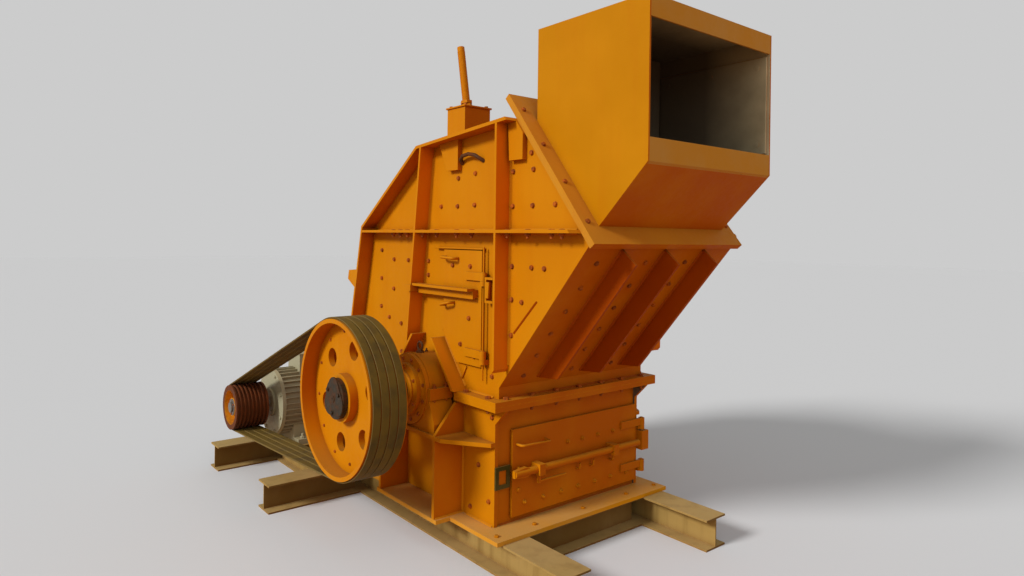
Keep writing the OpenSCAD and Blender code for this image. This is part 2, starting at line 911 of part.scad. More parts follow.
// Crusher pulley: rim, dished web with holes, and hub
rim_t = 26;
web_t = 40;
web_set = 100;
hub_d = 300;
web_hole_d = 120;
web_hole_r = (wheel_d/2 - rim_t + hub_d/2)/2;
web_hole_a = 15;

// Moves a hole out from the rotor axis to a radius, at an angle in side view
module at_radius(r, angle) {
    translate([r*cos(angle), 0, split_z + r*sin(angle)]) children();
}

module crusher_pulley() {
    y0 = -belt_y - wheel_w/2;
    y1 = y0 + wheel_w;
    color(orange) difference() {
        union() {
            difference() {
                cyl_y(wheel_d, y0, y1);
                cyl_y(wheel_d - 2*rim_t, y0 - past, y1 + past);
            }
            cyl_y(wheel_d - 2*rim_t + 2*past, y0 + web_set, y0 + web_set + web_t);
            cyl_y(hub_d, y0 + hub_front, y1);
        }
        cyl_y(shaft_d, y0 - past, y1 + past);
        for (k = [0:web_holes - 1]) at_radius(web_hole_r, web_hole_a + k*360/web_holes)
            cyl_y(web_hole_d, y0 + web_set - past, y0 + web_set + web_t + past, 0, 0);
    }
}

// Motor: finned frame between two end shields, with feet, fan cover and terminal box
motor_gap = 60;
motor_y0 = -belt_y + small_w/2 + motor_gap;
shield_t = 50;
shield_step = 3;
shield_d = motor_d - 2*shield_step;
boss_d = 230;
fan_l = 150;
fan_step = 15;
fan_d = motor_d - 2*fan_step;
frame_y0 = motor_y0 + shield_t;
frame_y1 = frame_y0 + motor_l;
fin_h = 26;
fin_t = 7;
motor_shaft_d = 80;
shaft_in = 200;
foot_gauge_x = 508;
foot_gauge_y = 457;
foot_rim = 60;
boss_l = 20;
foot_end = 50;
foot_t = 40;
foot_in_y = 90;
foot_y0 = frame_y0 + foot_in_y;
foot_y1 = foot_y0 + foot_gauge_y + 2*foot_end;
pillar_in = 40;
term_l = 240;
term_w = 250;
term_h = 130;
term_set = 170;
term_y = frame_y0 + term_set;

module motor_frame_outline() {
    r = motor_d/2;
    circle(r = r - fin_h);
    for (k = [0:fin_count - 1]) rotate((k + 0.5)*360/fin_count)
        translate([r - 2*fin_h, -fin_t/2]) square([2*fin_h, fin_t]);
}

module motor_frame() {
    x0 = -motor_x - foot_gauge_x/2;
    x1 = -motor_x + foot_gauge_x/2;
    z0 = motor_z - motor_h;
    color(grey_paint) difference() {
        union() {
            along_y(frame_y0, frame_y1) translate([-motor_x, motor_z]) motor_frame_outline();
            cyl_y(shield_d, motor_y0 + boss_l, frame_y0, -motor_x, motor_z);
            cyl_y(boss_d, motor_y0, frame_y0, -motor_x, motor_z);
            cyl_y(fan_d, frame_y1, frame_y1 + fan_l, -motor_x, motor_z);
            block([x0 - foot_rim, foot_y0, z0], [x1 + foot_rim, foot_y1, z0 + foot_t]);
            block([x0 + pillar_in, foot_y0, z0], [x1 - pillar_in, foot_y1, motor_z]);
            block([-motor_x - term_w/2, term_y, motor_z],
                  [-motor_x + term_w/2, term_y + term_l, motor_z + motor_d/2 + term_h]);
        }
        cyl_y(motor_shaft_d + 2*shaft_clear, motor_y0 - past, motor_y0 + shaft_in, -motor_x, motor_z);
    }
}

module motor_shaft() {
    color(steel) cyl_y(motor_shaft_d, -belt_y - small_w/2, motor_y0 + shaft_in - past, -motor_x, motor_z);
}

// Slide rails under the motor feet, on bearers between the rear and middle beams
rail_w = 120;
rail_out = 96;
bearer_w = 100;

module motor_rails() {
    x_feet = foot_gauge_x/2 + rail_out;
    color(tan_paint) for (y = [foot_y0 + foot_end, foot_y1 - foot_end]) {
        block([-motor_x - x_feet, y - rail_w/2, beam_h], [-motor_x + x_feet, y + rail_w/2, beam_h + rail_h]);
        beam_along_x(y, -rear_beam_x + beam_w/2, -middle_beam_x - beam_w/2, bearer_w);
    }
}

// Motor pulley with V grooves, drawn as half a section and turned about its axis
groove_step = small_w/(groove_count + 0.6);
groove_d = 14;
groove_open = 0.72;
groove_base = 0.42;
small_rim_t = 42;
small_hub_d = 150;
small_hub_in = 20;
small_dish = 75;

module motor_pulley() {
    r = small_d/2;
    dish_z = small_w - small_dish;
    hub_z = small_w - small_hub_in;
    first = (small_w - groove_count*groove_step)/2;
    rim = [for (k = [0:groove_count - 1]) let (m = first + (k + 0.5)*groove_step)
        each [[r, m - groove_step*groove_open/2], [r - groove_d, m - groove_step*groove_base/2],
              [r - groove_d, m + groove_step*groove_base/2], [r, m + groove_step*groove_open/2]]];
    color(rust) translate([-motor_x, -belt_y + small_w/2, motor_z]) rotate([90, 0, 0])
        rotate_extrude()
            polygon([[motor_shaft_d/2, 0], [r, 0], each rim, [r, small_w], [r - small_rim_t, small_w],
                     [r - small_rim_t, dish_z], [small_hub_d/2, dish_z], [small_hub_d/2, hub_z],
                     [motor_shaft_d/2, hub_z]]);
}

// Belts: one loop round both pulleys
belt_r = wheel_d/2 + belt_clear;
small_r = small_d/2 + belt_clear;
belt_edge = 10;
belt_span = [-motor_x, motor_z - split_z];
span_len = norm(belt_span);
span_angle = atan2(belt_span[1], belt_span[0]);
belt_step = 3;

// Points of a loop that runs round both pulleys, t outside their belt faces
function belt_loop(t) =
    let (r1 = (belt_r + t)/cos(belt_step/2), r2 = (small_r + t)/cos(belt_step/2),
         wrap = acos((belt_r - small_r)/span_len),
         n1 = round((360 - 2*wrap)/belt_step), n2 = round(2*wrap/belt_step))
    [for (k = [0:n1]) let (a = wrap + k*(360 - 2*wrap)/n1) r1*[cos(a), sin(a)],
     for (k = [0:n2]) let (a = -wrap + k*2*wrap/n2) [span_len, 0] + r2*[cos(a), sin(a)]];

module belt_outline(t) {
    translate([0, split_z]) rotate(span_angle) polygon(belt_loop(t));
}

module drive_belts() {
    half = wheel_w/2 - belt_edge;
    color(rubber) along_y(-belt_y - half, -belt_y + half) difference() {
        belt_outline(belt_t);
        belt_outline(0);
    }
}

// Doors and their hinges
hinge_pin_d = 24;
eye_d = 44;
eye_out = 30;
eye_gap = 2;
strap_h = 50;
strap_t = 16;
strap_l = 160;
side_strap_up = 80;
side_strap_down = 160;
front_strap_up = 110;
front_strap_down = 130;
side_face_y = -half_w - door_gap - door_t;
side_hinge_x = side_door_x1 + eye_out;
side_hinge_y = side_face_y - strap_t/2;
side_strap_z = [side_door_z0 + side_strap_up, side_door_z1 - side_strap_down];
front_face_x = front_wall_x + door_gap + door_t;
front_hinge_x = front_face_x + strap_t/2;
front_hinge_y = half_w + eye_out + eye_gap;
front_strap_z = [front_door_z0 + front_strap_up, front_door_z1 - front_strap_down];

// A hinge eye that stands on the axis at height z
module hinge_eye(z) {
    translate([0, 0, z - strap_h/2]) cylinder(d = eye_d, h = strap_h);
}

module hinge_bore(z) {
    translate([0, 0, z - strap_h/2 - past]) cylinder(d = hinge_pin_d + 2*pin_clear, h = strap_h + 2*past);
}

module side_door() {
    color(orange) difference() {
        union() {
            along_y(side_face_y, side_face_y + door_t) side_door_outline(0);
            for (z = side_strap_z) {
                block([side_door_x1 - strap_l, side_face_y - strap_t, z - strap_h/2],
                      [side_hinge_x, side_face_y, z + strap_h/2]);
                translate([side_hinge_x, side_hinge_y, 0]) hinge_eye(z);
            }
        }
        for (z = side_strap_z) translate([side_hinge_x, side_hinge_y, 0]) hinge_bore(z);
    }
}

module front_door() {
    color(orange) difference() {
        union() {
            block([front_face_x - door_t, front_door_y0, front_door_z0],
                  [front_face_x, front_door_y1, front_door_z1]);
            for (z = front_strap_z) {
                block([front_face_x, front_door_y1 - strap_l, z - strap_h/2],
                      [front_face_x + strap_t, front_hinge_y, z + strap_h/2]);
                translate([front_hinge_x, front_hinge_y, 0]) hinge_eye(z);
            }
        }
        for (z = front_strap_z) translate([front_hinge_x, front_hinge_y, 0]) hinge_bore(z);
    }
}

// Lock bar of the side door: an angle on two brackets, whose tongue hooks round the leaning rib
angle_h = 65;
angle_w = 60;
angle_t = 16;
bar_stand = 25;
bracket_w = 50;
side_bar_drop = 300;
side_bar_end = 65;
side_bar_z = side_door_z1 - side_bar_drop;
side_bar_x1 = side_hinge_x - side_bar_end;
tongue_h = 42;
tongue_t = 12;
tongue_over = 45;
rib_at_bar = -lean_rib_foot + (side_bar_z + angle_h/2 - lean_foot[1])
             *(lean_rib_foot - lean_rib_top)/(lean_top[1] - lean_foot[1]);
side_bar_x0 = rib_at_bar + rib_t/2 + 2*rib_clear;

module side_door_bar() {
    y1 = side_face_y - bar_stand;
    y0 = y1 - angle_w;
    tongue_y = -half_w - rib_d - rib_clear - tongue_t;
    tongue_z = side_bar_z + (angle_h - tongue_h)/2;
    color(orange) {
        block([side_bar_x0, y1 - angle_t, side_bar_z], [side_bar_x1, y1, side_bar_z + angle_h]);
        block([side_bar_x0, y0, side_bar_z + angle_h - angle_t], [side_bar_x1, y1, side_bar_z + angle_h]);
        for (x = [side_door_x + door_edge, side_bar_x1 - bracket_w])
            block([x, y1 - angle_t/2, side_bar_z + angle_t/2],
                  [x + bracket_w, side_face_y, side_bar_z + angle_h - angle_t/2]);
        block([side_bar_x0, tongue_y, tongue_z], [side_bar_x0 + tongue_t, y1, tongue_z + tongue_h]);
        block([side_bar_x0 - rib_t - tongue_over, tongue_y, tongue_z],
              [side_bar_x0 + tongue_t, tongue_y + tongue_t, tongue_z + tongue_h]);
    }
}

// Lock bar of the front door: a round bar in two holders, with a hand lever under it
holder_w = 46;
holder_t = 12;
holder_y = 340;
lock_bar_out = 48;
lock_bar_up = 280;
lock_bar_x = front_face_x + lock_bar_out;
lock_bar_z = front_door_z0 + lock_bar_up;
lock_bar_in = 20;
lever_d = 18;
lever_drop = 80;
lever_l = 230;

module front_door_bar() {
    r = lock_bar_d/2;
    y0 = front_door_y0 - lock_bar_in;
    y1 = front_door_y1 - lock_bar_in;
    color(orange) {
        cyl_y(lock_bar_d, y0, y1, lock_bar_x, lock_bar_z);
        for (y = [-holder_y, holder_y])
            block([front_face_x, y - holder_w/2, lock_bar_z - r - holder_t],
                  [lock_bar_x + r + holder_t, y + holder_w/2, lock_bar_z + r + holder_t]);
        cyl_y(lever_d, -holder_y, -holder_y + lever_l, lock_bar_x, lock_bar_z - lever_drop);
        block([lock_bar_x - lever_d/2, -holder_y - lever_d/2, lock_bar_z - lever_drop - lever_d/2],
              [lock_bar_x + lever_d/2, -holder_y + lever_d/2, lock_bar_z]);
    }
}

// Fixed hinge lugs with their pins, and the keepers beside the hinges
pin_lug_h = 30;
pin_lug_gap = 1;
pin_over = 5;
lug_root = 120;
keeper_w = 78;
keeper_d = 45;
keeper_t = 14;
keeper_h = 155;
block_w = 70;
block_h = 135;
block_front = 35;

module hinge_lug(z) {
    translate([0, 0, z - strap_h/2 - pin_lug_gap - pin_lug_h]) {
        cylinder(d = eye_d, h = pin_lug_h);
        cylinder(d = hinge_pin_d, h = pin_lug_h + pin_lug_gap + strap_h + pin_over);
    }
}

// C-shaped keeper beside the side door
module side_keeper() {
    x0 = side_hinge_x + eye_d/2 + door_gap;
    z0 = side_bar_z - keeper_t;
    block([x0, -half_w - keeper_d, z0], [x0 + keeper_t, -half_w, z0 + keeper_h]);
    for (z = [z0, z0 + keeper_h - keeper_t])
        block([x0, -half_w - keeper_d, z], [x0 + keeper_w, -half_w, z + keeper_t]);
}

module hinge_lugs() {
    lug_drop = strap_h/2 + pin_lug_gap;
    color(orange) {
        for (z = side_strap_z) {
            translate([side_hinge_x, side_hinge_y, 0]) hinge_lug(z);
            block([side_hinge_x - eye_d/2, side_hinge_y, z - lug_drop - pin_lug_h],
                  [side_hinge_x + eye_d/2, -half_w, z - lug_drop]);
        }
        for (z = front_strap_z) {
            translate([front_hinge_x, front_hinge_y, 0]) hinge_lug(z);
            block([front_hinge_x - lug_root, half_w, z - lug_drop - pin_lug_h],
                  [front_hinge_x, front_hinge_y + eye_d/2, z - lug_drop]);
        }
        side_keeper();
        block([front_hinge_x - lug_root, half_w, lock_bar_z - block_h/2],
              [front_hinge_x + block_front, half_w + block_w, lock_bar_z + block_h/2]);
    }
}

placed() base_plate();
placed() long_beam_near();
placed() long_beam_far();
placed() cross_beams();
placed() lower_side_near();
placed() lower_side_far();
placed() lower_front_wall();
placed() lower_back_wall();
placed() lower_split_flange();
placed() upper_split_flange();
placed() bearing_seat_near();
placed() bearing_seat_far();
placed() upper_side_near();
placed() upper_side_far();
placed() sloping_front_plate();
placed() roof_plate();
placed() back_slope_plate();
placed() back_wall_plate();
placed() upright_ribs_near();
placed() upright_ribs_far();
placed() level_ribs_near();
placed() level_ribs_far();
placed() slope_ribs();
placed() casing_feed_flange();
placed() hopper_flange();
placed() hopper_side_near();
placed() hopper_side_far();
placed() hopper_back_plate();
placed() hopper_floor();
placed() hopper_top_plate();
placed() mouth_lips();
placed() front_apron();
placed() rear_apron();
placed() apron_shafts();
placed() apron_lugs();
placed() spring_boxes();
placed() apron_rods();
placed() bearing_near();
placed() bearing_far();
placed() motor_rails();
placed() motor_frame();
placed() drive_belts();
placed() hinge_lugs();
placed() rotor_shaft();
placed() rotor_drum();
placed() crusher_pulley();
placed() motor_shaft();
placed() motor_pulley();
placed() side_door();
placed() side_door_bar();
placed() front_door();
placed() front_door_bar();
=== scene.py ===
"""Dresses a belt-driven impact crusher: enamel, rust, dust, bolts, welds, belts, doors and motor."""

import json
import math

import bmesh
import bpy
from bpy.props import FloatProperty, FloatVectorProperty, IntProperty, PointerProperty
from mathutils import Matrix, Vector


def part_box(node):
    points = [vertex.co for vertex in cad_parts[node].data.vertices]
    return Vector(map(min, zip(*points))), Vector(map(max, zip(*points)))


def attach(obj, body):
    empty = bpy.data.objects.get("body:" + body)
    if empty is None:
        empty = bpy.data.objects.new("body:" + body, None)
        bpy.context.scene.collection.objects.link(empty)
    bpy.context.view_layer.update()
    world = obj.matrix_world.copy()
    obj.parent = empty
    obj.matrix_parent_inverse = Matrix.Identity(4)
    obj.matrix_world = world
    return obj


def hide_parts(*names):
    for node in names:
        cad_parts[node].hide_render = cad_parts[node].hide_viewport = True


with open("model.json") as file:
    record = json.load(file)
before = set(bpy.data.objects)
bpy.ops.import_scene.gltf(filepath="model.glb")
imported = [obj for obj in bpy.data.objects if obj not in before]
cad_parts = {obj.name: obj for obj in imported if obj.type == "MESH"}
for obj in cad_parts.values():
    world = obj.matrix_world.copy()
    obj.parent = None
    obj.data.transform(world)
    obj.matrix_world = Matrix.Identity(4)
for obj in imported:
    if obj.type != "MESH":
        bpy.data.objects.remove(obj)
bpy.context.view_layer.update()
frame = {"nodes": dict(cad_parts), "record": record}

bl_info = {
    "name": "Impact crusher dressing",
    "version": (1, 1, 0),
    "blender": (4, 5, 0),
    "location": "View3D > Sidebar > Crusher",
    "description": "Finishes and small hardware for a belt-driven impact crusher on a beam skid",
    "category": "Object",
}

X_AXIS = Vector((1, 0, 0))
Y_AXIS = Vector((0, 1, 0))
Z_AXIS = Vector((0, 0, 1))
JOINT_PLACES = {j["name"]: Vector(j["pos_m"]) for j in frame["record"]["behaviour"]["joints"]}
ROTOR = JOINT_PLACES["rotor_spin"]
MOTOR = JOINT_PLACES["motor_spin"]
SIDE_HINGE = JOINT_PLACES["side_door_swing"]

# Planes of the casing, in the frame
NEAR_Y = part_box("upper_side_near")[0].y
FAR_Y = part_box("upper_side_far")[1].y
SIDES = (("near", NEAR_Y, -Y_AXIS), ("far", FAR_Y, Y_AXIS))
SPLIT_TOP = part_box("upper_split_flange")[1].z
SPLIT_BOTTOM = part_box("lower_split_flange")[0].z
BASE_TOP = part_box("base_plate")[1].z
BEAM_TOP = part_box("long_beam_near")[1].z
FRONT_WALL_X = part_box("lower_front_wall")[1].x
DOOR_GAP = 0.005
DOOR_T = 0.020
SIDE_LEAF_Y = NEAR_Y - DOOR_GAP - DOOR_T
FRONT_LEAF_X = FRONT_WALL_X + DOOR_GAP + DOOR_T

# Corners of the casing seen from the belt side, in metres along from the rotor axis and up from the floor
SLOPE_FOOT = (0.689, 1.086)
THROAT = (1.440, 1.970)
ROOF_FRONT = (0.880, 2.660)
CROWN = (-0.090, 2.580)
SHOULDER = (-0.860, 2.045)
HEEL = (-1.080, 1.010)
WRAP_T = 0.020
LEAN_RIB = [(-0.195, 1.228), (-0.040, 2.600)]
FRONT_RIB = [(0.785, 1.199), (0.785, 2.640)]
GUARD_RIBS = [[(0.120, 1.320), (0.372, 1.010)], [(-0.120, 1.320), (-0.372, 1.010)]]
LEVEL_RIB_Z = (2.010, 2.028)
RIB_T = 0.018
SLOPE_RIBS_Y = (-0.370, 0.0, 0.370)
SIDE_DOOR_OUTLINE = [(0.140, 1.365), (0.2905, 1.180), (0.555, 1.180), (0.555, 1.900), (0.140, 1.900)]
FRONT_DOOR_OUTLINE = [(-0.520, 0.260), (0.620, 0.260), (0.620, 0.800), (-0.520, 0.800)]


def linear(hex_code):
    """The linear colour of an sRGB hex value, with full alpha."""
    parts = [int(hex_code[i:i + 2], 16) / 255 for i in (1, 3, 5)]
    return tuple(c / 12.92 if c <= 0.04045 else ((c + 0.055) / 1.055) ** 2.4 for c in parts) + (1.0,)


def colour_property(name, description, hex_code):
    """A colour that the user can change, written as an sRGB hex value."""
    return FloatVectorProperty(name=name, description=description, subtype="COLOR", size=4,
                               min=0, max=1, default=linear(hex_code))


def length_property(name, description, default, least, most):
    """A length in metres that the user can change."""
    return FloatProperty(name=name, description=description, default=default, min=least, max=most,
                         unit="LENGTH")


def number_property(name, description, default, most):
    """A plain number that the user can change."""
    return FloatProperty(name=name, description=description, default=default, min=0, max=most)


def turn_property(name, description, degrees):
    """An angle that the user can change."""
    return FloatProperty(name=name, description=description, subtype="ANGLE", default=math.radians(degrees))


def direction_property(name, description, default):
    """A direction that the user can change."""
    return FloatVectorProperty(name=name, description=description, subtype="DIRECTION", size=3,
                               default=default)


class CrusherColours(bpy.types.PropertyGroup):
    """Colours of the finishes."""
    enamel: colour_property("Enamel", "Orange enamel on faces that the sun reaches", "#C97C03")
    # Painted shade: the deep enamel goes on faces that look along the machine or down; it is also the bolts'
    # paint
    enamel_deep_and_shade: colour_property("Deep enamel", "Enamel on faces that the sun has not faded", "#BC5E03")
    # On rubbed edges the faded enamel is also a painted highlight
    enamel_faded: colour_property("Faded enamel", "Enamel on worn edges and faded patches", "#D99112")
    enamel_hopper: colour_property("Hopper enamel", "Sun-yellowed enamel of the hopper", "#BD7B01")
    enamel_washed: colour_property("Washed enamel", "Enamel under a wash of stone dust", "#C48426")
    # Painted bounce light: this brighter colour goes on the ribs' faces that look along the machine, which the
    # key light misses
    enamel_rib_and_bounce: colour_property("Rib enamel", "Brighter enamel of the upright ribs", "#D96C04")
    # Painted shade: a darker red on the ribs under the sloping plate and on the welds across the front
    enamel_painted_shade: colour_property("Shaded enamel", "Redder enamel under the sloping plate", "#A24402")
    # Painted shade: the occlusion mask darkens corners towards this grimy colour
    grime: colour_property("Grime", "Oil and soot in corners and streaks", "#6A2C05")
    rust: colour_property("Rust", "Rust on chips and fasteners", "#783A10")
    dust: colour_property("Dust", "Brown stone dust on level enamel", "#96652C")
    dry_dust: colour_property("Dry dust", "Pale stone dust on the skid and in the hopper", "#B99A66")
    # Painted light: the pale dust brightens the linings towards the mouth, where light falls in
    pale_dust_and_light: colour_property("Pale dust", "Grey dust on the scoured steel by the mouth", "#D2C49C")
    skid: colour_property("Skid enamel", "Faded olive tan enamel of the beams", "#A98B4E")
    # Mud streaks on the beams, and painted shade on their faces that look along the machine or down
    skid_mud_and_shade: colour_property("Skid mud", "Dried mud on sheltered faces of the beams", "#75582A")
    bare_steel: colour_property("Bare steel", "Dark stone-worn steel inside the machine", "#5E5344")
    steel: colour_property("Turned steel", "Turned shaft steel", "#8C8880")
    oiled_steel: colour_property("Oiled steel", "Shaft ends under a coat of old oil", "#281E0C")
    bar_steel: colour_property("Bar steel", "Brown hot-rolled bar", "#4C2B0E")
    motor: colour_property("Motor", "Silver grey motor enamel", "#A59F80")
    rubber: colour_property("Rubber", "Dusty belt rubber", "#665016")
    iron: colour_property("Cast iron", "Rusted cast iron of the small pulley", "#5E2D0B")
    latch: colour_property("Latch plate", "Dark olive enamel of the latch plate", "#453A12")
    seal: colour_property("Door seal", "Black rubber seal", "#1E1B17")
    backdrop: colour_property("Backdrop", "Pale floor and backdrop", "#CCCCCC")
    bounce: colour_property("Warm bounce", "Light that the floor throws back up", "#C49A78")


class CrusherSizes(bpy.types.PropertyGroup):
    """Sizes of the small hardware."""
    liner_thread: length_property("Liner bolt", "Thread of the liner bolts", 0.0155, 0.01, 0.03)
    liner_pitch: length_property("Liner pitch", "Spacing of the bolts along a bent plate", 0.200, 0.12, 0.4)
    flange_thread: length_property("Flange bolt", "Thread of the flange bolts", 0.019, 0.010, 0.030)
    flange_pitch: length_property("Flange pitch", "Spacing of the flange bolts", 0.200, 0.1, 0.4)
    feed_pitch: length_property("Feed pitch", "Spacing of the bolts at the hopper joint", 0.260, 0.1, 0.5)
    weld_leg: length_property("Weld leg", "Leg of the fillet welds", 0.009, 0.004, 0.02)
    weld_ripple: length_property("Weld ripple", "Spacing of the ripples in a weld", 0.018, 0.006, 0.04)
    handle_bar: length_property("Handle bar", "Diameter of the bent grab handles", 0.018, 0.010, 0.030)
    belt_gap: length_property("Belt gap", "Gap between neighbouring belts", 0.005, 0.002, 0.02)
    belt_bands: IntProperty(name="Belts", description="Belts side by side", default=4, min=1, max=8)


class CrusherStage(bpy.types.PropertyGroup):
    """Camera and light."""
    camera_place: FloatVectorProperty(name="Camera", description="Place of the camera", subtype="XYZ",
                                      size=3, unit="LENGTH", default=(4.2455, -2.986, 1.979))
    camera_yaw: turn_property("Yaw", "Turn of the camera from looking along +Y", 50.597)
    camera_roll: turn_property("Roll", "Roll of the camera", 0.748)
    focal: number_property("Focal length", "In pixels of an image 1024 pixels wide", 697.45, 3000)
    axis_row: number_property("Axis row", "Pixel row that the lens axis meets", 238.42, 576)
    key_from: direction_property("Key direction", "Where the key light comes from", (-0.07, -0.855, 0.513))
    key: number_property("Key light", "Strength of the key light", 2.45, 10)
    key_spread: turn_property("Key spread", "Width of the key light in the sky", 14)
    front_from: direction_property("Front direction", "Where the front light comes from",
                                   (0.75, -0.35, 0.55))
    front: number_property("Front light", "Strength of the front light", 0.62, 5)
    front_spread: turn_property("Front spread", "Width of the front light in the sky", 70)
    fill: number_property("Fill light", "Strength of the fill light", 0.30, 2)
    floor_gain: number_property("Floor gain", "How much paler than the backdrop the floor is", 1.22, 2)


IMAGE_SIZE = (1024, 576)
SENSOR_WIDTH = 36.0
CLIP_END = 300.0


# Places

def at(x, y, z):
    """A point given from the rotor axis along the machine and across it, and from the floor up."""
    return Vector((ROTOR.x + x, ROTOR.y + y, z))


def on_side(x, z, y=NEAR_Y):
    """A point on a side plane of the casing."""
    return Vector((ROTOR.x + x, y, z))


def stand(point, direction, turn=0.0):
    """The matrix that sets a shape's Z axis along a direction at a point, turned about it."""
    aim = Vector(direction).to_track_quat("Z", "Y").to_matrix().to_4x4()
    return Matrix.Translation(point) @ aim @ Matrix.Rotation(turn, 4, "Z")


def plane(origin, along, up):
    """The matrix that lays a shape's XY plane on two directions at a point."""
    turn = Matrix((along, up, along.cross(up))).transposed().to_4x4()
    return Matrix.Translation(origin) @ turn


def bent_plate(start, end):
    """The foot, length, direction and outward normal of a plate between two corners of the casing."""
    foot = at(start[0], 0, start[1])
    run = at(end[0], 0, end[1]) - foot
    along = run.normalized()
    return foot, run.length, along, Vector((along.z, 0, -along.x))


def spaced(start, end, pitch):
    """Even places from start to end at about a pitch, both ends included."""
    count = max(1, round(abs(end - start) / pitch))
    return [start + (end - start) * i / count for i in range(count + 1)]


def inset(outline, distance):
    """A convex outline, listed anticlockwise, with each edge moved inwards."""
    moved = []
    for before, corner, after in zip(outline[-1:] + outline[:-1], outline, outline[1:] + outline[:1]):
        b, c, a = Vector(before), Vector(corner), Vector(after)
        u, v = (c - b).normalized(), (a - c).normalized()
        n, m = Vector((-u.y, u.x)), Vector((-v.y, v.x))
        moved.append(tuple(c + (n + m) * distance / (1 + n.dot(m))))
    return moved


# Shapes

class Heap:
    """Gathers closed solids, each given with its matrix, as the points and faces of one piece."""

    def __init__(self, *solids):
        self.points = []
        self.faces = []
        for shape, matrix in solids:
            self.add(shape, matrix)

    def add(self, shape, matrix=Matrix()):
        points, faces = shape
        start = len(self.points)
        self.points += [matrix @ Vector(p) for p in points]
        self.faces += [tuple(start + i for i in face) for face in faces]


def joined_rings(points, sides, rings, closed):
    """A skin over rings of points, closed into a loop or capped at both ends."""
    faces = []
    for ring in range(rings if closed else rings - 1):
        ahead = (ring + 1) % rings
        for i in range(sides):
            j = (i + 1) % sides
            faces.append((ring * sides + i, ring * sides + j, ahead * sides + j, ahead * sides + i))
    if not closed:
        faces.append(tuple(reversed(range(sides))))
        faces.append(tuple(range(sides * (rings - 1), sides * rings)))
    return points, faces


def turned(profile, sides=24, hollow=False):
    """A solid turned about Z from (radius, height) pairs, or a ring where the profile closes on itself."""
    angles = [2 * math.pi * i / sides for i in range(sides)]
    points = [(r * math.cos(a), r * math.sin(a), h) for r, h in profile for a in angles]
    return joined_rings(points, sides, len(profile), hollow)


def slab(outline, depth):
    """A plate from an outline in XY, from Z 0 to its depth, with its outer rim broken."""
    rim = min(0.002, abs(depth) / 4)
    small = inset(outline, rim)
    levels = [(outline, 0), (outline, depth - math.copysign(rim, depth)), (small, depth)]
    points = [(x, y, h) for line, h in levels for x, y in line]
    return joined_rings(points, len(outline), len(levels), False)


def frame_slab(outline, width, depth):
    """A flat frame of a width that follows a convex outline on its inner side."""
    inner = inset(outline, width)
    levels = [(outline, 0), (outline, depth), (inner, depth), (inner, 0)]
    points = [(x, y, h) for line, h in levels for x, y in line]
    return joined_rings(points, len(outline), len(levels), True)


def block(low, high, edge=0.002):
    """A block between two corners with its upright edges and its top and bottom rims broken."""
    low, high = Vector(low), Vector(high)
    e = min(edge, 0.4 * min(high - low))

    def rim(shrink):
        x0, y0, x1, y1 = low.x + shrink, low.y + shrink, high.x - shrink, high.y - shrink
        return [(x0 + e, y0), (x1 - e, y0), (x1, y0 + e), (x1, y1 - e),
                (x1 - e, y1), (x0 + e, y1), (x0, y1 - e), (x0, y0 + e)]
    levels = [(e, low.z), (0, low.z + e), (0, high.z - e), (e, high.z)]
    points = [(x, y, z) for shrink, z in levels for x, y in rim(shrink)]
    return joined_rings(points, 8, len(levels), False)


def rod(path, radius, sides=12, closed=False):
    """A round bar swept along a list of points, with flat ends or closed into a hoop."""
    path = [Vector(p) for p in path]
    last = len(path) - 1
    points = []
    across = None
    for i, p in enumerate(path):
        before = path[i - 1] if closed else path[max(i - 1, 0)]
        after = path[(i + 1) % len(path)] if closed else path[min(i + 1, last)]
        ahead = (after - before).normalized()
        if across is None:
            across = ahead.orthogonal().normalized()
        across = (across - ahead * across.dot(ahead)).normalized()
        other = ahead.cross(across)
        for k in range(sides):
            a = 2 * math.pi * k / sides
            points.append(p + (across * math.cos(a) + other * math.sin(a)) * radius)
    return joined_rings(points, sides, len(path), closed)


def hoop(centre, along, up, radius, bar, sides=24):
    """A round bar bent into a ring in the plane of two directions."""
    angles = [2 * math.pi * i / sides for i in range(sides)]
    return rod([centre + (along * math.cos(a) + up * math.sin(a)) * radius for a in angles], bar, 8, True)


def rounded_path(corners, radius, steps=5):
    """A path through corner points with each inner corner rounded."""
    corners = [Vector(c) for c in corners]
    path = [corners[0]]
    for before, corner, after in zip(corners, corners[1:], corners[2:]):
        start = corner + (before - corner).normalized() * radius
        end = corner + (after - corner).normalized() * radius
        for i in range(steps + 1):
            t = i / steps
            path.append(start.lerp(corner, t).lerp(corner.lerp(end, t), t))
    return path + [corners[-1]]


def bent_handle(start, end, out, reach, bar):
    """A grab handle: a bar that leaves a face at two places and is bent between them."""
    sunk = out * 0.003
    bend = min(0.024, reach * 0.6)
    corners = [start - sunk, start + out * reach, end + out * reach, end - sunk]
    return rod(rounded_path(corners, bend), bar / 2)


def weld(start, end, side_a, side_b, leg, ripple):
    """A fillet weld in the corner between two faces, with soft ripples along it."""
    cuts, sunk = 3, 0.002
    ripple_h, wander, wander_rate = 0.09, 0.7, 0.31
    face = ((1.0, 0.0), (0.75, 0.35), (0.35, 0.75), (0.0, 1.0))
    steps = max(cuts, round((end - start).length / ripple * cuts))
    points = []
    for i in range(steps + 1):
        p = start.lerp(end, i / steps)
        wave = 2 * math.pi * i / cuts + wander * math.sin(i * wander_rate)
        swell = leg * (1 + ripple_h * math.sin(wave))
        points.append(p - (side_a + side_b) * sunk)
        points += [p + side_a * swell * a + side_b * swell * b for a, b in face]
    return joined_rings(points, len(face) + 1, steps + 1, False)


WASHER = ((0.98, -0.05), (1.02, 0.06), (0.96, 0.15))
BOLT_HEAD = ((0.88, 0.14), (0.90, 0.68), (0.76, 0.80))
EYE_FOOT = ((0.62, -0.02), (0.62, 0.14), (0.40, 0.34))
# Heads stop at no common angle, so each is turned on from the one before
HEAD_TURN = 0.37


def scaled(profile, size):
    """A profile given in shares of a size."""
    return [(r * size, h * size) for r, h in profile]


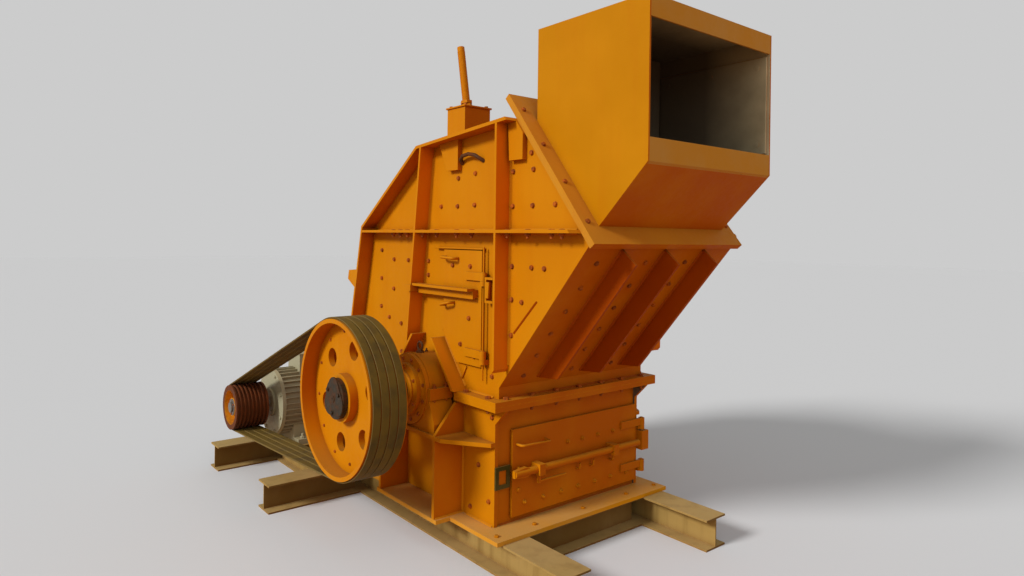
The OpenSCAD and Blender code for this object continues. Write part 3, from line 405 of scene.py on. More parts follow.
def hex_bolt(heap, point, direction, thread, stud=0.0):
    """A hexagon head or nut on a washer, with the end of its stud where one stands out."""
    turn = (len(heap.points) * HEAD_TURN) % (math.pi / 3)
    matrix = stand(point, direction, turn)
    heap.add(turned(scaled(WASHER, thread), 14), matrix)
    heap.add(turned(scaled(BOLT_HEAD, thread), 6), matrix)
    if stud:
        top = 0.8 + stud / thread
        heap.add(turned(scaled([(0.5, 0.7), (0.5, top), (0.4, top + 0.1)], thread), 10), matrix)


def bolt_ring(heap, centre, axis, radius, count, thread, first=0.0, stud=0.0):
    """Bolts spaced round a circle about an axis."""
    spread = stand(centre, axis)
    for i in range(count):
        a = first + 2 * math.pi * i / count
        hex_bolt(heap, spread @ Vector((radius * math.cos(a), radius * math.sin(a), 0)), axis, thread, stud)


def eye_bolt(heap, point, along, size):
    """A lifting eye on a level face, with its ring in the plane of a direction and the upright."""
    up, ring, bar = 0.92, 0.62, 0.17
    heap.add(turned(scaled(EYE_FOOT, size), 20), stand(point, Z_AXIS))
    heap.add(hoop(point + Z_AXIS * size * up, along, Z_AXIS, ring * size, bar * size))


def piece(name, heap, material, body="root", replaced=(), smooth_deg=40):
    """Makes the mesh of a heap, with outward faces, and hands it to its body."""
    mesh = bpy.data.meshes.new(name)
    mesh.from_pydata(heap.points, [], heap.faces)
    work = bmesh.new()
    work.from_mesh(mesh)
    bmesh.ops.recalc_face_normals(work, faces=work.faces)
    work.to_mesh(mesh)
    work.free()
    mesh.polygons.foreach_set("use_smooth", [True] * len(mesh.polygons))
    mesh.set_sharp_from_angle(angle=math.radians(smooth_deg))
    mesh.materials.append(finish(material))
    made = bpy.data.objects.new(name, mesh)
    bpy.context.scene.collection.objects.link(made)
    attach(made, body)
    if replaced:
        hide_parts(*replaced)
    return made


# Materials

def connect(tree, node, inputs):
    """Sets a node's inputs to values, or links them to sockets."""
    for key, value in inputs.items():
        if isinstance(value, bpy.types.NodeSocket):
            tree.links.new(value, node.inputs[key])
        else:
            node.inputs[key].default_value = value


def add(tree, kind, inputs=None, **settings):
    """Adds a node, sets its settings, and sets or links its inputs."""
    node = tree.nodes.new(kind)
    for name, value in settings.items():
        setattr(node, name, value)
    connect(tree, node, inputs or {})
    return node


def mixed(tree, share, first, second):
    """A colour between two, by the share of the second."""
    return add(tree, "ShaderNodeMix", {0: share, 6: first, 7: second}, data_type="RGBA").outputs[2]


def maths(tree, operation, *values):
    """The result of a sum on one or two numbers."""
    return add(tree, "ShaderNodeMath", dict(enumerate(values)), operation=operation).outputs[0]


def per_metre(size_mm):
    """The texture scale that gives a pattern of a size in millimetres."""
    return 1000.0 / size_mm


class Surface:
    """A material in the making: its nodes, its shader, and where each point lies and faces."""

    def __init__(self, name):
        self.material = bpy.data.materials.new(name)
        self.material.use_nodes = True
        self.tree = self.material.node_tree
        place = add(self.tree, "ShaderNodeTexCoord").outputs
        self.where, self.normal = place["Object"], place["Normal"]

    def noise(self, size_mm, detail, where=None):
        """A cloudy pattern of a size in millimetres."""
        inputs = {"Vector": where or self.where, "Scale": per_metre(size_mm), "Detail": detail}
        return add(self.tree, "ShaderNodeTexNoise", inputs).outputs[0]

    def ranged(self, value, start, end, low=0.0, high=1.0):
        """A value carried from one range to another."""
        return add(self.tree, "ShaderNodeMapRange", {0: value, 1: start, 2: end, 3: low, 4: high}).outputs[0]

    def mixed(self, share, first, second):
        return mixed(self.tree, share, first, second)

    def maths(self, operation, *values):
        return maths(self.tree, operation, *values)

    def vectors(self, operation, *values):
        """The vector that a sum on vectors gives, or its number where it gives one."""
        made = add(self.tree, "ShaderNodeVectorMath", dict(enumerate(values)), operation=operation)
        return made.outputs["Value" if operation in ("DOT_PRODUCT", "LENGTH") else "Vector"]

    def part(self, vector, axis):
        """One part of a vector."""
        return add(self.tree, "ShaderNodeSeparateXYZ", {0: vector}).outputs[axis]

    def shade(self, colour, roughness, specular=0.5, metallic=0.0, bump=None):
        """The material with its shader set, and with a bump given by height, strength and depth."""
        inputs = {"Base Color": colour, "Roughness": roughness, "Specular IOR Level": specular,
                  "Metallic": metallic}
        if bump:
            height, strength, depth = bump
            raised = {"Strength": strength, "Distance": depth, "Height": height}
            inputs["Normal"] = add(self.tree, "ShaderNodeBump", raised).outputs[0]
        connect(self.tree, self.tree.nodes["Principled BSDF"], inputs)
        return self.material


def weathered(name, fresh, shade_and_stain, worn, dust, dust_share=0.55, chip_share=0.5, grime_share=0.45,
              roughness=0.5, stain_share=0.20, lining=None):
    """Brushed enamel on rolled plate: satin with a faint brush texture, a deeper colour painted as shade on faces
    that look along the machine or down, faded patches, rubbed edges lightened partly as a painted highlight and
    with rusty chips, corners darkened by painted shade towards a grimy colour, and dust on level faces.
    A lining, given by the middle of a space, its half width and where it opens, is bare stone-worn steel
    on the inner faces."""
    colours = bpy.context.scene.crusher_colours
    s = Surface(name)
    cloud, speck = s.noise(420, 5.0), s.noise(28, 4.0)
    drawn_out = s.vectors("MULTIPLY", s.where, (per_metre(90), per_metre(90), per_metre(900)))
    streak = s.noise(1000, 3.0, drawn_out)
    # Faces that look along the machine or down are given the deeper colour: painted shade where the key light
    # does not reach
    level = s.part(s.normal, "Z")
    sunlit = s.maths("ADD", level, s.maths("ABSOLUTE", s.part(s.normal, "Y")))
    base = s.mixed(s.ranged(sunlit, 0.0, 0.9), shade_and_stain, fresh)
    base = s.mixed(s.ranged(cloud, 0.42, 0.74, high=0.30), base, worn)
    base = s.mixed(s.ranged(streak, 0.50, 0.80, high=stain_share), base, shade_and_stain)
    # Corners where plates meet are darkened by an occlusion mask towards a grimy colour: partly dirt, partly
    # painted shade
    corner = add(s.tree, "ShaderNodeAmbientOcclusion", {"Distance": 0.07}, samples=6).outputs["AO"]
    base = s.mixed(s.ranged(corner, 0.75, 0.30, high=grime_share), base, colours.grime)
    if chip_share:
        # Edges are rubbed and lightened towards the worn colour, partly a painted highlight where edges catch the
        # light, with rust where chips go through
        smooth = add(s.tree, "ShaderNodeBevel", {"Radius": 0.006}, samples=4).outputs[0]
        flat = add(s.tree, "ShaderNodeNewGeometry").outputs["Normal"]
        edge = s.ranged(s.vectors("DOT_PRODUCT", smooth, flat), 0.985, 0.90, high=chip_share)
        base = s.mixed(s.maths("MULTIPLY", s.ranged(speck, 0.40, 0.60), edge), base, worn)
        base = s.mixed(s.maths("MULTIPLY", s.ranged(speck, 0.64, 0.70), edge), base, colours.rust)
    # Stone dust lies on level faces
    lying = s.ranged(level, 0.55, 0.95, high=dust_share)
    settled = s.maths("MULTIPLY", lying, s.ranged(cloud, 0.25, 0.55, 0.45))
    base = s.mixed(settled, base, dust)
    if lining:
        base = lined(s, base, cloud, *lining)
    rough = s.ranged(speck, 0.3, 0.7, roughness - 0.06, roughness + 0.14)
    return s.shade(base, rough, 0.07, bump=(speck, 0.25, 0.0015))


def lined(s, base, cloud, middle, half_width, mouth_x):
    """Bare scoured steel on the faces that look into a space, paler within half a metre of its mouth:
    dust, and painted light falling in through the mouth.
    """
    colours = bpy.context.scene.crusher_colours
    inward = s.vectors("SUBTRACT", middle, s.where)
    towards = s.maths("GREATER_THAN", s.vectors("DOT_PRODUCT", inward, s.normal), 0.0)
    within = s.maths("LESS_THAN", s.maths("ABSOLUTE", s.part(inward, "Y")), half_width)
    # Paler towards the mouth: dust, and painted light falling in
    mouth_light_and_dust = s.ranged(s.part(s.where, "X"), mouth_x - 0.45, mouth_x - 0.02, low=0.05)
    dust_and_mouth_light = s.maths("MULTIPLY", mouth_light_and_dust, s.ranged(cloud, 0.30, 0.60, low=0.35))
    steel = s.mixed(dust_and_mouth_light, colours.bare_steel, colours.pale_dust_and_light)
    return s.mixed(s.maths("MULTIPLY", towards, within), base, steel)


def rusting_bolts(name):
    """Hot-rolled bolts painted over once and rusting through: dull brown with orange enamel in patches."""
    colours = bpy.context.scene.crusher_colours
    s = Surface(name)
    blotch = s.noise(30, 4.0)
    base = s.mixed(s.ranged(blotch, 0.40, 0.64, 0.15, 0.90), colours.rust, colours.enamel_deep_and_shade)
    return s.shade(base, s.ranged(blotch, 0.3, 0.7, 0.85, 0.5), 0.25, bump=(blotch, 0.3, 0.001))


def worn_steel(name, colour, metallic, roughness, blotch_mm, dust_share, rust_share=0.55, painted=None):
    """Rolled, turned or cast steel that has worked outdoors: dark, blotched with rust and dulled by dust.
    Painted gives an axis point and a radius within which old enamel still holds."""
    colours = bpy.context.scene.crusher_colours
    s = Surface(name)
    blotch, grit = s.noise(blotch_mm, 6.0), s.noise(12, 3.0)
    if painted:
        axis_point, radius = painted
        off = s.vectors("MULTIPLY", s.vectors("SUBTRACT", s.where, axis_point), (1.0, 0.0, 1.0))
        held = s.maths("LESS_THAN", s.vectors("LENGTH", off), radius)
        colour = s.mixed(held, colour, colours.enamel_faded)
    base = s.mixed(s.ranged(blotch, 0.45, 0.70, high=rust_share), colour, colours.rust)
    base = s.mixed(s.ranged(grit, 0.40, 0.75, high=dust_share), base, colours.dust)
    rough = s.ranged(blotch, 0.3, 0.7, roughness, min(1.0, roughness + 0.3))
    return s.shade(base, rough, 0.3, metallic, (grit, 0.4, 0.002))


def belt_rubber(name):
    """Cord-wrapped rubber belts: matt olive brown with a woven back, dark polished patches, and pale
    frayed cord along the edges of each belt."""
    colours, sizes = bpy.context.scene.crusher_colours, bpy.context.scene.crusher_sizes
    low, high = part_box("drive_belts")
    pitch = (high.y - low.y + sizes.belt_gap) / sizes.belt_bands
    s = Surface(name)
    cloud, weave = s.noise(110, 5.0), s.noise(8, 2.0)
    base = s.mixed(s.ranged(cloud, 0.45, 0.75, high=0.55), colours.rubber, colours.seal)
    across = s.maths("DIVIDE", s.maths("SUBTRACT", s.part(s.where, "Y"), low.y), pitch)
    frayed = s.ranged(s.maths("PINGPONG", across, 0.5), 0.10, 0.02, high=0.28)
    base = s.mixed(s.maths("MULTIPLY", frayed, cloud), base, colours.dry_dust)
    return s.shade(base, 0.78, 0.25, bump=(weave, 0.4, 0.001))


def seal_rubber(name):
    """Moulded black rubber gone grey with dust: matt, a little paler in patches."""
    colours = bpy.context.scene.crusher_colours
    s = Surface(name)
    return s.shade(s.mixed(s.ranged(s.noise(50, 4.0), 0.45, 0.8, high=0.4), colours.seal, colours.dust), 0.85)


def orange_enamel(name, **changes):
    """The orange machine enamel in one of its states of wear."""
    c = bpy.context.scene.crusher_colours
    return weathered(name, c.enamel, c.enamel_deep_and_shade, c.enamel_faded, c.dust, **changes)


def casing_lining():
    """The crushing chamber, lined on the inner faces of the casing."""
    chamber_z, plate_in, mouth_past_throat = 1.7, 0.012, 0.6
    half = (FAR_Y - NEAR_Y) / 2 - plate_in
    return at(0.0, 0.0, chamber_z), half, at(THROAT[0] + mouth_past_throat, 0, 0).x


def hopper_lining():
    """The throat of the hopper, lined on its inner faces and paler towards the mouth, with dust and painted
    light.
    """
    middle_over_lip, plate_in = 0.42, 0.006
    low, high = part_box("hopper_side_near")[0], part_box("hopper_side_far")[1]
    middle = (low + high) / 2
    middle.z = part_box("mouth_lips")[0].z + middle_over_lip
    return middle, (high.y - low.y) / 2 - plate_in, high.x


def finish(name):
    """The material of a name, made once."""
    ready = bpy.data.materials.get(name)
    if ready:
        return ready
    c = bpy.context.scene.crusher_colours
    painted_hub = (MOTOR, 0.1385)
    makers = {
        "orange_machine_enamel": orange_enamel,
        "enamel_over_welds": lambda n: orange_enamel(n, chip_share=0.0, grime_share=0.30),
        "enamelled_casing_plate": lambda n: orange_enamel(n, lining=casing_lining()),
        "enamelled_hopper_plate": lambda n: weathered(n, c.enamel_hopper, c.enamel_deep_and_shade, c.enamel_faded,
                                                      c.dust, dust_share=0.4, lining=hopper_lining()),
        "flange_enamel": lambda n: weathered(n, c.enamel_washed, c.enamel_deep_and_shade, c.enamel_faded, c.dust),
        "upright_rib_bounce_enamel": lambda n: weathered(n, c.enamel, c.enamel_rib_and_bounce, c.enamel_faded, c.dust),
        "dusty_base_enamel": lambda n: weathered(n, c.enamel_faded, c.enamel_faded, c.dry_dust,
                                                 c.dry_dust, dust_share=0.4),
        "painted_shade_rib_enamel": lambda n: weathered(n, c.enamel_painted_shade, c.enamel_painted_shade, c.enamel_deep_and_shade, c.dust),
        "dust_washed_enamel": lambda n: weathered(n, c.enamel_washed, c.enamel_washed, c.dry_dust, c.dust,
                                                  dust_share=0.7),
        "faded_skid_enamel": lambda n: weathered(n, c.skid, c.skid_mud_and_shade, c.dry_dust, c.dry_dust,
                                                 dust_share=0.5, grime_share=0.6, roughness=0.6,
                                                 stain_share=0.75),
        "silver_motor_enamel": lambda n: weathered(n, c.motor, c.motor, c.steel, c.dry_dust,
                                                   dust_share=0.4, grime_share=0.18, roughness=0.4),
        "olive_latch_enamel": lambda n: weathered(n, c.latch, c.latch, c.skid, c.dust, chip_share=0.3),
        "painted_rusting_bolt_steel": rusting_bolts,
        "hot_rolled_bar_steel": lambda n: worn_steel(n, c.bar_steel, 0.1, 0.6, 40, 0.10),
        "cast_manganese_steel": lambda n: worn_steel(n, c.bare_steel, 0.5, 0.5, 120, 0.35),
        "turned_shaft_steel": lambda n: worn_steel(n, c.steel, 0.9, 0.32, 60, 0.15),
        "oiled_shaft_steel": lambda n: worn_steel(n, c.oiled_steel, 0.0, 0.5, 50, 0.08, 0.30),
        "rusted_cast_iron": lambda n: worn_steel(n, c.iron, 0.2, 0.6, 45, 0.06, painted=painted_hub),
        "wrapped_belt_rubber": belt_rubber,
        "moulded_seal_rubber": seal_rubber,
    }
    return makers[name](name)


NODE_FINISHES = {
    "enamelled_casing_plate": ["lower_side_near", "lower_side_far", "lower_front_wall", "lower_back_wall",
                               "upper_side_near", "upper_side_far", "sloping_front_plate", "roof_plate",
                               "back_slope_plate", "back_wall_plate"],
    "enamelled_hopper_plate": ["hopper_side_near", "hopper_side_far", "hopper_back_plate", "hopper_floor",
                               "hopper_top_plate"],
    "flange_enamel": ["casing_feed_flange", "hopper_flange"],
    "upright_rib_bounce_enamel": ["upright_ribs_near", "upright_ribs_far"],
    "dust_washed_enamel": ["mouth_lips"],
    "dusty_base_enamel": ["base_plate"],
    "painted_shade_rib_enamel": ["slope_ribs"],
    "faded_skid_enamel": ["long_beam_near", "long_beam_far", "cross_beams", "motor_rails"],
    "cast_manganese_steel": ["front_apron", "rear_apron", "rotor_drum"],
    "turned_shaft_steel": ["apron_shafts", "motor_shaft"],
    "oiled_shaft_steel": ["rotor_shaft"],
    "silver_motor_enamel": ["motor_frame"],
    "rusted_cast_iron": ["motor_pulley"],
    "wrapped_belt_rubber": ["drive_belts"],
}


class CRUSHER_OT_finishes(bpy.types.Operator):
    """Gives every plate, beam and turned part its finish"""
    bl_idname = "crusher.finishes"
    bl_label = "Finishes"

    def execute(self, context):
        by_node = {node: name for name, nodes in NODE_FINISHES.items() for node in nodes}
        for node, made in frame["nodes"].items():
            made.data.materials.clear()
            made.data.materials.append(finish(by_node.get(node, "orange_machine_enamel")))
        return {"FINISHED"}


BOLTS = "painted_rusting_bolt_steel"
ENAMEL = "orange_machine_enamel"


class CRUSHER_OT_liner_bolts(bpy.types.Operator):
    """Adds the rows of bolts that hold the liners to the casing plates"""
    bl_idname = "crusher.liner_bolts"
    bl_label = "Liner bolts"

    # Bolts of a side plate at its back, roof, front and foot, along from the rotor axis and up from the floor
    SIDE_PLACES = [
        (-0.737, 1.878), (-0.553, 1.814), (-0.351, 1.814), (-0.737, 1.666), (-0.553, 1.597), (-0.737, 1.453),
        (-0.614, 1.381), (-0.441, 1.351), (-0.800, 1.240), (-0.620, 1.200), (-0.430, 1.150),
        (0.261, 2.366), (0.446, 2.386), (0.064, 2.187), (0.254, 2.184), (0.441, 2.187),
        (0.822, 2.372), (1.003, 2.374), (0.983, 2.470), (0.820, 2.168), (0.998, 2.168), (1.187, 2.170),
        (0.820, 1.814), (0.996, 1.814), (1.103, 1.812), (0.820, 1.618), (0.912, 1.610), (0.820, 1.408),
        (0.643, 1.137), (0.649, 0.888), (0.518, 0.569), (0.625, 0.370), (0.436, 0.286)]
    BESIDE_DOOR = [(-0.085, 1.817), (-0.085, 1.721)]
    # The far side has rows of bolts where the near side has its door
    IN_PLACE_OF_DOOR = [(x, z) for x in (0.064, 0.254, 0.441, 0.634) for z in (1.806, 1.600)]
    IN_PLACE_OF_DOOR += [(0.254, 1.400), (0.441, 1.400), (0.634, 1.400), (0.441, 1.230), (0.634, 1.230)]
    # Bent plates between two corners of the casing, and their rows of bolts across the machine
    BACK_ROWS = (-0.550, -0.275, 0.0, 0.275, 0.550)
    PLATES = {"slope": (SLOPE_FOOT, THROAT, (-0.510, -0.265, -0.105, 0.105, 0.265, 0.510)),
              "roof": (ROOF_FRONT, CROWN, (-0.550, -0.180, 0.180, 0.550)),
              "back_slope": (CROWN, SHOULDER, BACK_ROWS),
              "back": (SHOULDER, HEEL, BACK_ROWS)}
    # Gaps between a plate's corners and its first and last bolts
    FIRST, LAST = 0.10, 0.14

    def execute(self, context):
        sizes = context.scene.crusher_sizes
        for side, y, out in SIDES:
            heap = Heap()
            by_door = self.BESIDE_DOOR if side == "near" else self.IN_PLACE_OF_DOOR
            for x, z in self.SIDE_PLACES + by_door:
                hex_bolt(heap, on_side(x, z, y), out, sizes.liner_thread)
            piece(f"side_liner_bolts_{side}", heap, BOLTS)
        for name, (start, end, rows) in self.PLATES.items():
            foot, length, along, out = bent_plate(start, end)
            heap = Heap()
            for s in spaced(self.FIRST, length - self.LAST, sizes.liner_pitch):
                for y in rows:
                    place = foot + Y_AXIS * y + along * s + out * WRAP_T
                    hex_bolt(heap, place, out, sizes.liner_thread)
            piece(f"{name}_liner_bolts", heap, BOLTS)
        return {"FINISHED"}


class CRUSHER_OT_flange_bolts(bpy.types.Operator):
    """Adds the bolts of the split, rib, feed and base flanges"""
    bl_idname = "crusher.flange_bolts"
    bl_label = "Flange bolts"

    # Bolts of a level rib, along from the rotor axis
    RIB_PLACES = [-0.460, -0.360, -0.265, -0.066, 0.108, 0.338, 0.501, 0.850, 1.032, 1.229, 1.310]
    RIB_HEAD = [(1.00, 0), (0.85, 0.003), (0.4, 0.005)]

    def execute(self, context):
        sizes = context.scene.crusher_sizes
        self.split_bolts(sizes)
        self.rib_bolts(sizes)
        self.feed_bolts(sizes)
        self.base_bolts(sizes)
        return {"FINISHED"}

    def split_bolts(self, sizes):
        """Heads on the upper split flange and nuts that hang under the lower one."""
        edge, corner, side_corner = 0.038, 0.11, 0.12
        half_seat = 0.430
        nut_stud = 0.012
        low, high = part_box("lower_split_flange")[0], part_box("upper_split_flange")[1]
        places = [(x, y) for y in spaced(low.y + corner, high.y - corner, sizes.flange_pitch)
                  for x in (high.x - edge, low.x + edge)]
        runs = ((low.x + side_corner, ROTOR.x - half_seat), (ROTOR.x + half_seat, high.x - side_corner))
        places += [(x, y) for y in (low.y + edge, high.y - edge) for x0, x1 in runs
                   for x in spaced(x0, x1, sizes.flange_pitch)]
        heap = Heap()
        for x, y in places:
            hex_bolt(heap, Vector((x, y, SPLIT_TOP)), Z_AXIS, sizes.flange_thread)
            hex_bolt(heap, Vector((x, y, SPLIT_BOTTOM)), -Z_AXIS, sizes.flange_thread, nut_stud)
        piece("split_flange_bolts", heap, BOLTS)

    def rib_bolts(self, sizes):
        """Nuts that hang under the level ribs, with low round heads on top."""
        stand_off, nut_stud = 0.066, 0.014
        head = [(share * sizes.flange_thread, height) for share, height in self.RIB_HEAD]
        for side, y, out in SIDES:
            heap = Heap()
            for x in self.RIB_PLACES:
                under, over = [on_side(x, z, y) + out * stand_off for z in LEVEL_RIB_Z]
                hex_bolt(heap, under, -Z_AXIS, sizes.flange_thread, nut_stud)
                heap.add(turned(head, sides=14), stand(over, Z_AXIS))
            piece(f"level_rib_bolts_{side}", heap, BOLTS)

    def feed_bolts(self, sizes):
        """Bolts along both sides of the joint between the casing and the hopper."""
        joint_t, margin = 0.040, 0.045
        first, past_roof = 0.10, 0.06
        low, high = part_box("hopper_flange")
        edge = (high.y - low.y) / 2 - margin
        foot, length, along, out = bent_plate(THROAT, ROOF_FRONT)
        heap = Heap()
        for s in spaced(first, length + past_roof, sizes.feed_pitch):
            for y in (-edge, edge):
                hex_bolt(heap, foot + Y_AXIS * y + along * s + out * joint_t, out, sizes.liner_thread)
        piece("feed_flange_bolts", heap, BOLTS)

    def base_bolts(self, sizes):
        """Bolts that hold the base plate to the beams, clear of the bearing seats."""
        row_y, row_pitch, end_pitch = 0.715, 0.46, 0.42
        first, front_edge, back_edge = 0.09, 0.07, 0.040
        seat_x, seat_y = 0.40, 0.6
        low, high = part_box("base_plate")
        places = [(x, ROTOR.y + side * row_y) for x in spaced(low.x + first, high.x - front_edge, row_pitch)
                  for side in (-1, 1)]
        places += [(x, y) for y in spaced(ROTOR.y - end_pitch, ROTOR.y + end_pitch, end_pitch)
                   for x in (high.x - front_edge, low.x + back_edge)]
        heap = Heap()
        for x, y in places:
            if abs(x - ROTOR.x) > seat_x or abs(y - ROTOR.y) < seat_y:
                hex_bolt(heap, Vector((x, y, BASE_TOP)), Z_AXIS, sizes.liner_thread)
        piece("base_plate_bolts", heap, ENAMEL)


class CRUSHER_OT_welds(bpy.types.Operator):
    """Adds the fillet welds along ribs, walls, flanges and beams"""
    bl_idname = "crusher.welds"
    bl_label = "Welds"

    # Ribs that stand on a side plate, and how far their welds stop short of both ends
    SIDE_RIBS = [(*ends, 0.03, 0.08) for ends in (LEAN_RIB, FRONT_RIB)]
    SIDE_RIBS += [(*ends, 0.01, 0.02) for ends in GUARD_RIBS]
    # Level stretches along from the rotor axis, between what crosses them
    LEVEL_RUNS = ((-0.82, -0.12), (-0.09, 0.77), (0.80, 1.36))
    FLANGE_RUNS = ((-1.05, -0.40), (0.40, 0.66))
    CROSS_BEAMS_X = (0.745, -1.000, -2.150)
    # A slanting seam on the near side plate, and half the length of the seams across the front
    SEAM = ((0.842, 1.424), (1.042, 1.625))
    FRONT_HALF = 0.60

    def execute(self, context):
        sizes = context.scene.crusher_sizes
        self.leg, self.ripple = sizes.weld_leg, sizes.weld_ripple
        for side, y, out in SIDES:
            self.heap = Heap()
            self.side_ribs(y, out)
            self.side_flanges(y, out)
            piece(f"casing_welds_{side}", self.heap, "enamel_over_welds")
        self.heap = Heap()
        self.front_seams()
        self.slope_ribs()
        piece("front_welds", self.heap, "painted_shade_rib_enamel")
        self.heap = Heap()
        self.beam_joints()
        piece("skid_welds", self.heap, "faded_skid_enamel")
        return {"FINISHED"}

    def run(self, start, end, side_a, side_b):
        """A weld of the set size between two places."""
        self.heap.add(weld(start, end, side_a, side_b, self.leg, self.ripple))

    def level(self, runs, y, out, *edges):
        """Welds along level stretches of a side plate, over or under each of some heights."""
        for x0, x1 in runs:
            for z, up in edges:
                self.run(on_side(x0, z, y), on_side(x1, z, y), out, up)

    def across(self, x, z, up):
        """A weld across the front of the machine."""
        self.run(at(x, -self.FRONT_HALF, z), at(x, self.FRONT_HALF, z), X_AXIS, up)

    def side_ribs(self, y, out):
        """Welds on both sides of the upright, slanting and level ribs of a side plate."""
        for (xa, za), (xb, zb), low, high in self.SIDE_RIBS:
            start, end = on_side(xa, za, y), on_side(xb, zb, y)
            way = (end - start).normalized()
            side = way.cross(Y_AXIS)
            for turn in (side, -side):
                shift = turn * RIB_T / 2
                self.run(start + way * low + shift, end - way * high + shift, out, turn)
        self.level(self.LEVEL_RUNS, y, out, (LEVEL_RIB_Z[1], Z_AXIS), (LEVEL_RIB_Z[0], -Z_AXIS))

    def side_flanges(self, y, out):
        """Welds of a side plate to the split flanges and base plate, and of the bearing seat's gussets."""
        self.level(self.FLANGE_RUNS, y, out, (SPLIT_TOP, Z_AXIS), (SPLIT_BOTTOM, -Z_AXIS), (BASE_TOP, Z_AXIS))
        seat_x, seat_plate, seat_reach = 0.350, 0.03, 0.21
        seat_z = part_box("bearing_near")[0].z - seat_plate
        for turn in (-1, 1):
            foot, way = on_side(seat_x * turn, BASE_TOP, y), X_AXIS * turn
            self.run(foot, on_side(seat_x * turn, seat_z, y), out, way)
            self.run(foot, foot + out * seat_reach, way, Z_AXIS)

    def front_seams(self):
        """Welds across the front, of the sloping plate and the lower wall, and the seam on the near side."""
        wall_x, down_slope = FRONT_WALL_X - ROTOR.x, Vector((0.7, 0, -0.7))
        self.across(SLOPE_FOOT[0] + WRAP_T, SPLIT_TOP, Z_AXIS)
        self.run(*[on_side(*place) for place in self.SEAM], -Y_AXIS, down_slope)
        self.across(wall_x, SPLIT_BOTTOM, -Z_AXIS)
        self.across(wall_x, BASE_TOP, Z_AXIS)

    def slope_ribs(self):
        """Welds on both sides of the ribs under the sloping plate."""
        first, last = 0.07, 0.05
        foot, length, along, out = bent_plate(SLOPE_FOOT, THROAT)
        for y in SLOPE_RIBS_Y:
            for turn in (-1, 1):
                root = foot + out * WRAP_T + Y_AXIS * (y + turn * RIB_T / 2)
                self.run(root + along * first, root + along * (length - last), out, Y_AXIS * turn)

    def beam_joints(self):
        """Beads on top, where the cross beams meet the long beams."""
        near_low, near_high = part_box("long_beam_near")
        half = X_AXIS * (near_high.y - near_low.y) / 2
        steps, sunk = 12, 0.001
        bead = self.leg * 0.55
        for x in self.CROSS_BEAMS_X:
            for y in (near_high.y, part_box("long_beam_far")[0].y):
                middle = Vector((ROTOR.x + x, y, BEAM_TOP - sunk))
                path = [(middle - half).lerp(middle + half, i / steps) for i in range(steps + 1)]
                self.heap.add(rod(path, bead, sides=8))


class CRUSHER_OT_belts(bpy.types.Operator):
    """Replaces the plain belt loop with belts side by side"""
    bl_idname = "crusher.belts"
    bl_label = "Belts"

    def execute(self, context):
        sizes = context.scene.crusher_sizes
        low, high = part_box("drive_belts")
        width = (high.y - low.y - sizes.belt_gap * (sizes.belt_bands - 1)) / sizes.belt_bands
        loop = self.loop(high.z - ROTOR.z, MOTOR.x - low.x)
        heap = Heap()
        for band in range(sizes.belt_bands):
            y0 = low.y + band * (width + sizes.belt_gap)
            heap.add(self.belt(loop, y0, y0 + width))
        piece("wrapped_belts", heap, "wrapped_belt_rubber", replaced=["drive_belts"],
              smooth_deg=30)
        return {"FINISHED"}

    def loop(self, big, small):
        """Places round both pulleys: a centre, a radius and a direction outwards."""
        fewest, step = 10, math.radians(4)
        span = MOTOR - ROTOR
        span.y = 0
        lean = math.acos((big - small) / span.length)
        to_motor = math.atan2(span.z, span.x)
        places = []
        for centre, radius, first, last in ((ROTOR, big, to_motor + lean, to_motor + 2 * math.pi - lean),
                                            (MOTOR, small, to_motor - lean, to_motor + lean)):
            steps = max(fewest, round((last - first) / step))
            for i in range(steps + 1):
                a = first + (last - first) * i / steps
                outward = Vector((math.cos(a), 0, math.sin(a)))
                places.append((Vector((centre.x, 0, centre.z)), radius, outward))
        return places

    def belt(self, loop, y0, y1):
        """One belt with a flat back, rounded back edges and tapering sides."""
        thick, round_in, taper = 0.0108, 0.003, 0.004
        section = [(thick, y0 + taper), (round_in, y0), (0.0, y0 + round_in),
                   (0.0, y1 - round_in), (round_in, y1), (thick, y1 - taper)]
        points = [centre + out * (radius - depth) + Y_AXIS * y
                  for centre, radius, out in loop for depth, y in section]
        return joined_rings(points, len(section), len(loop), True)


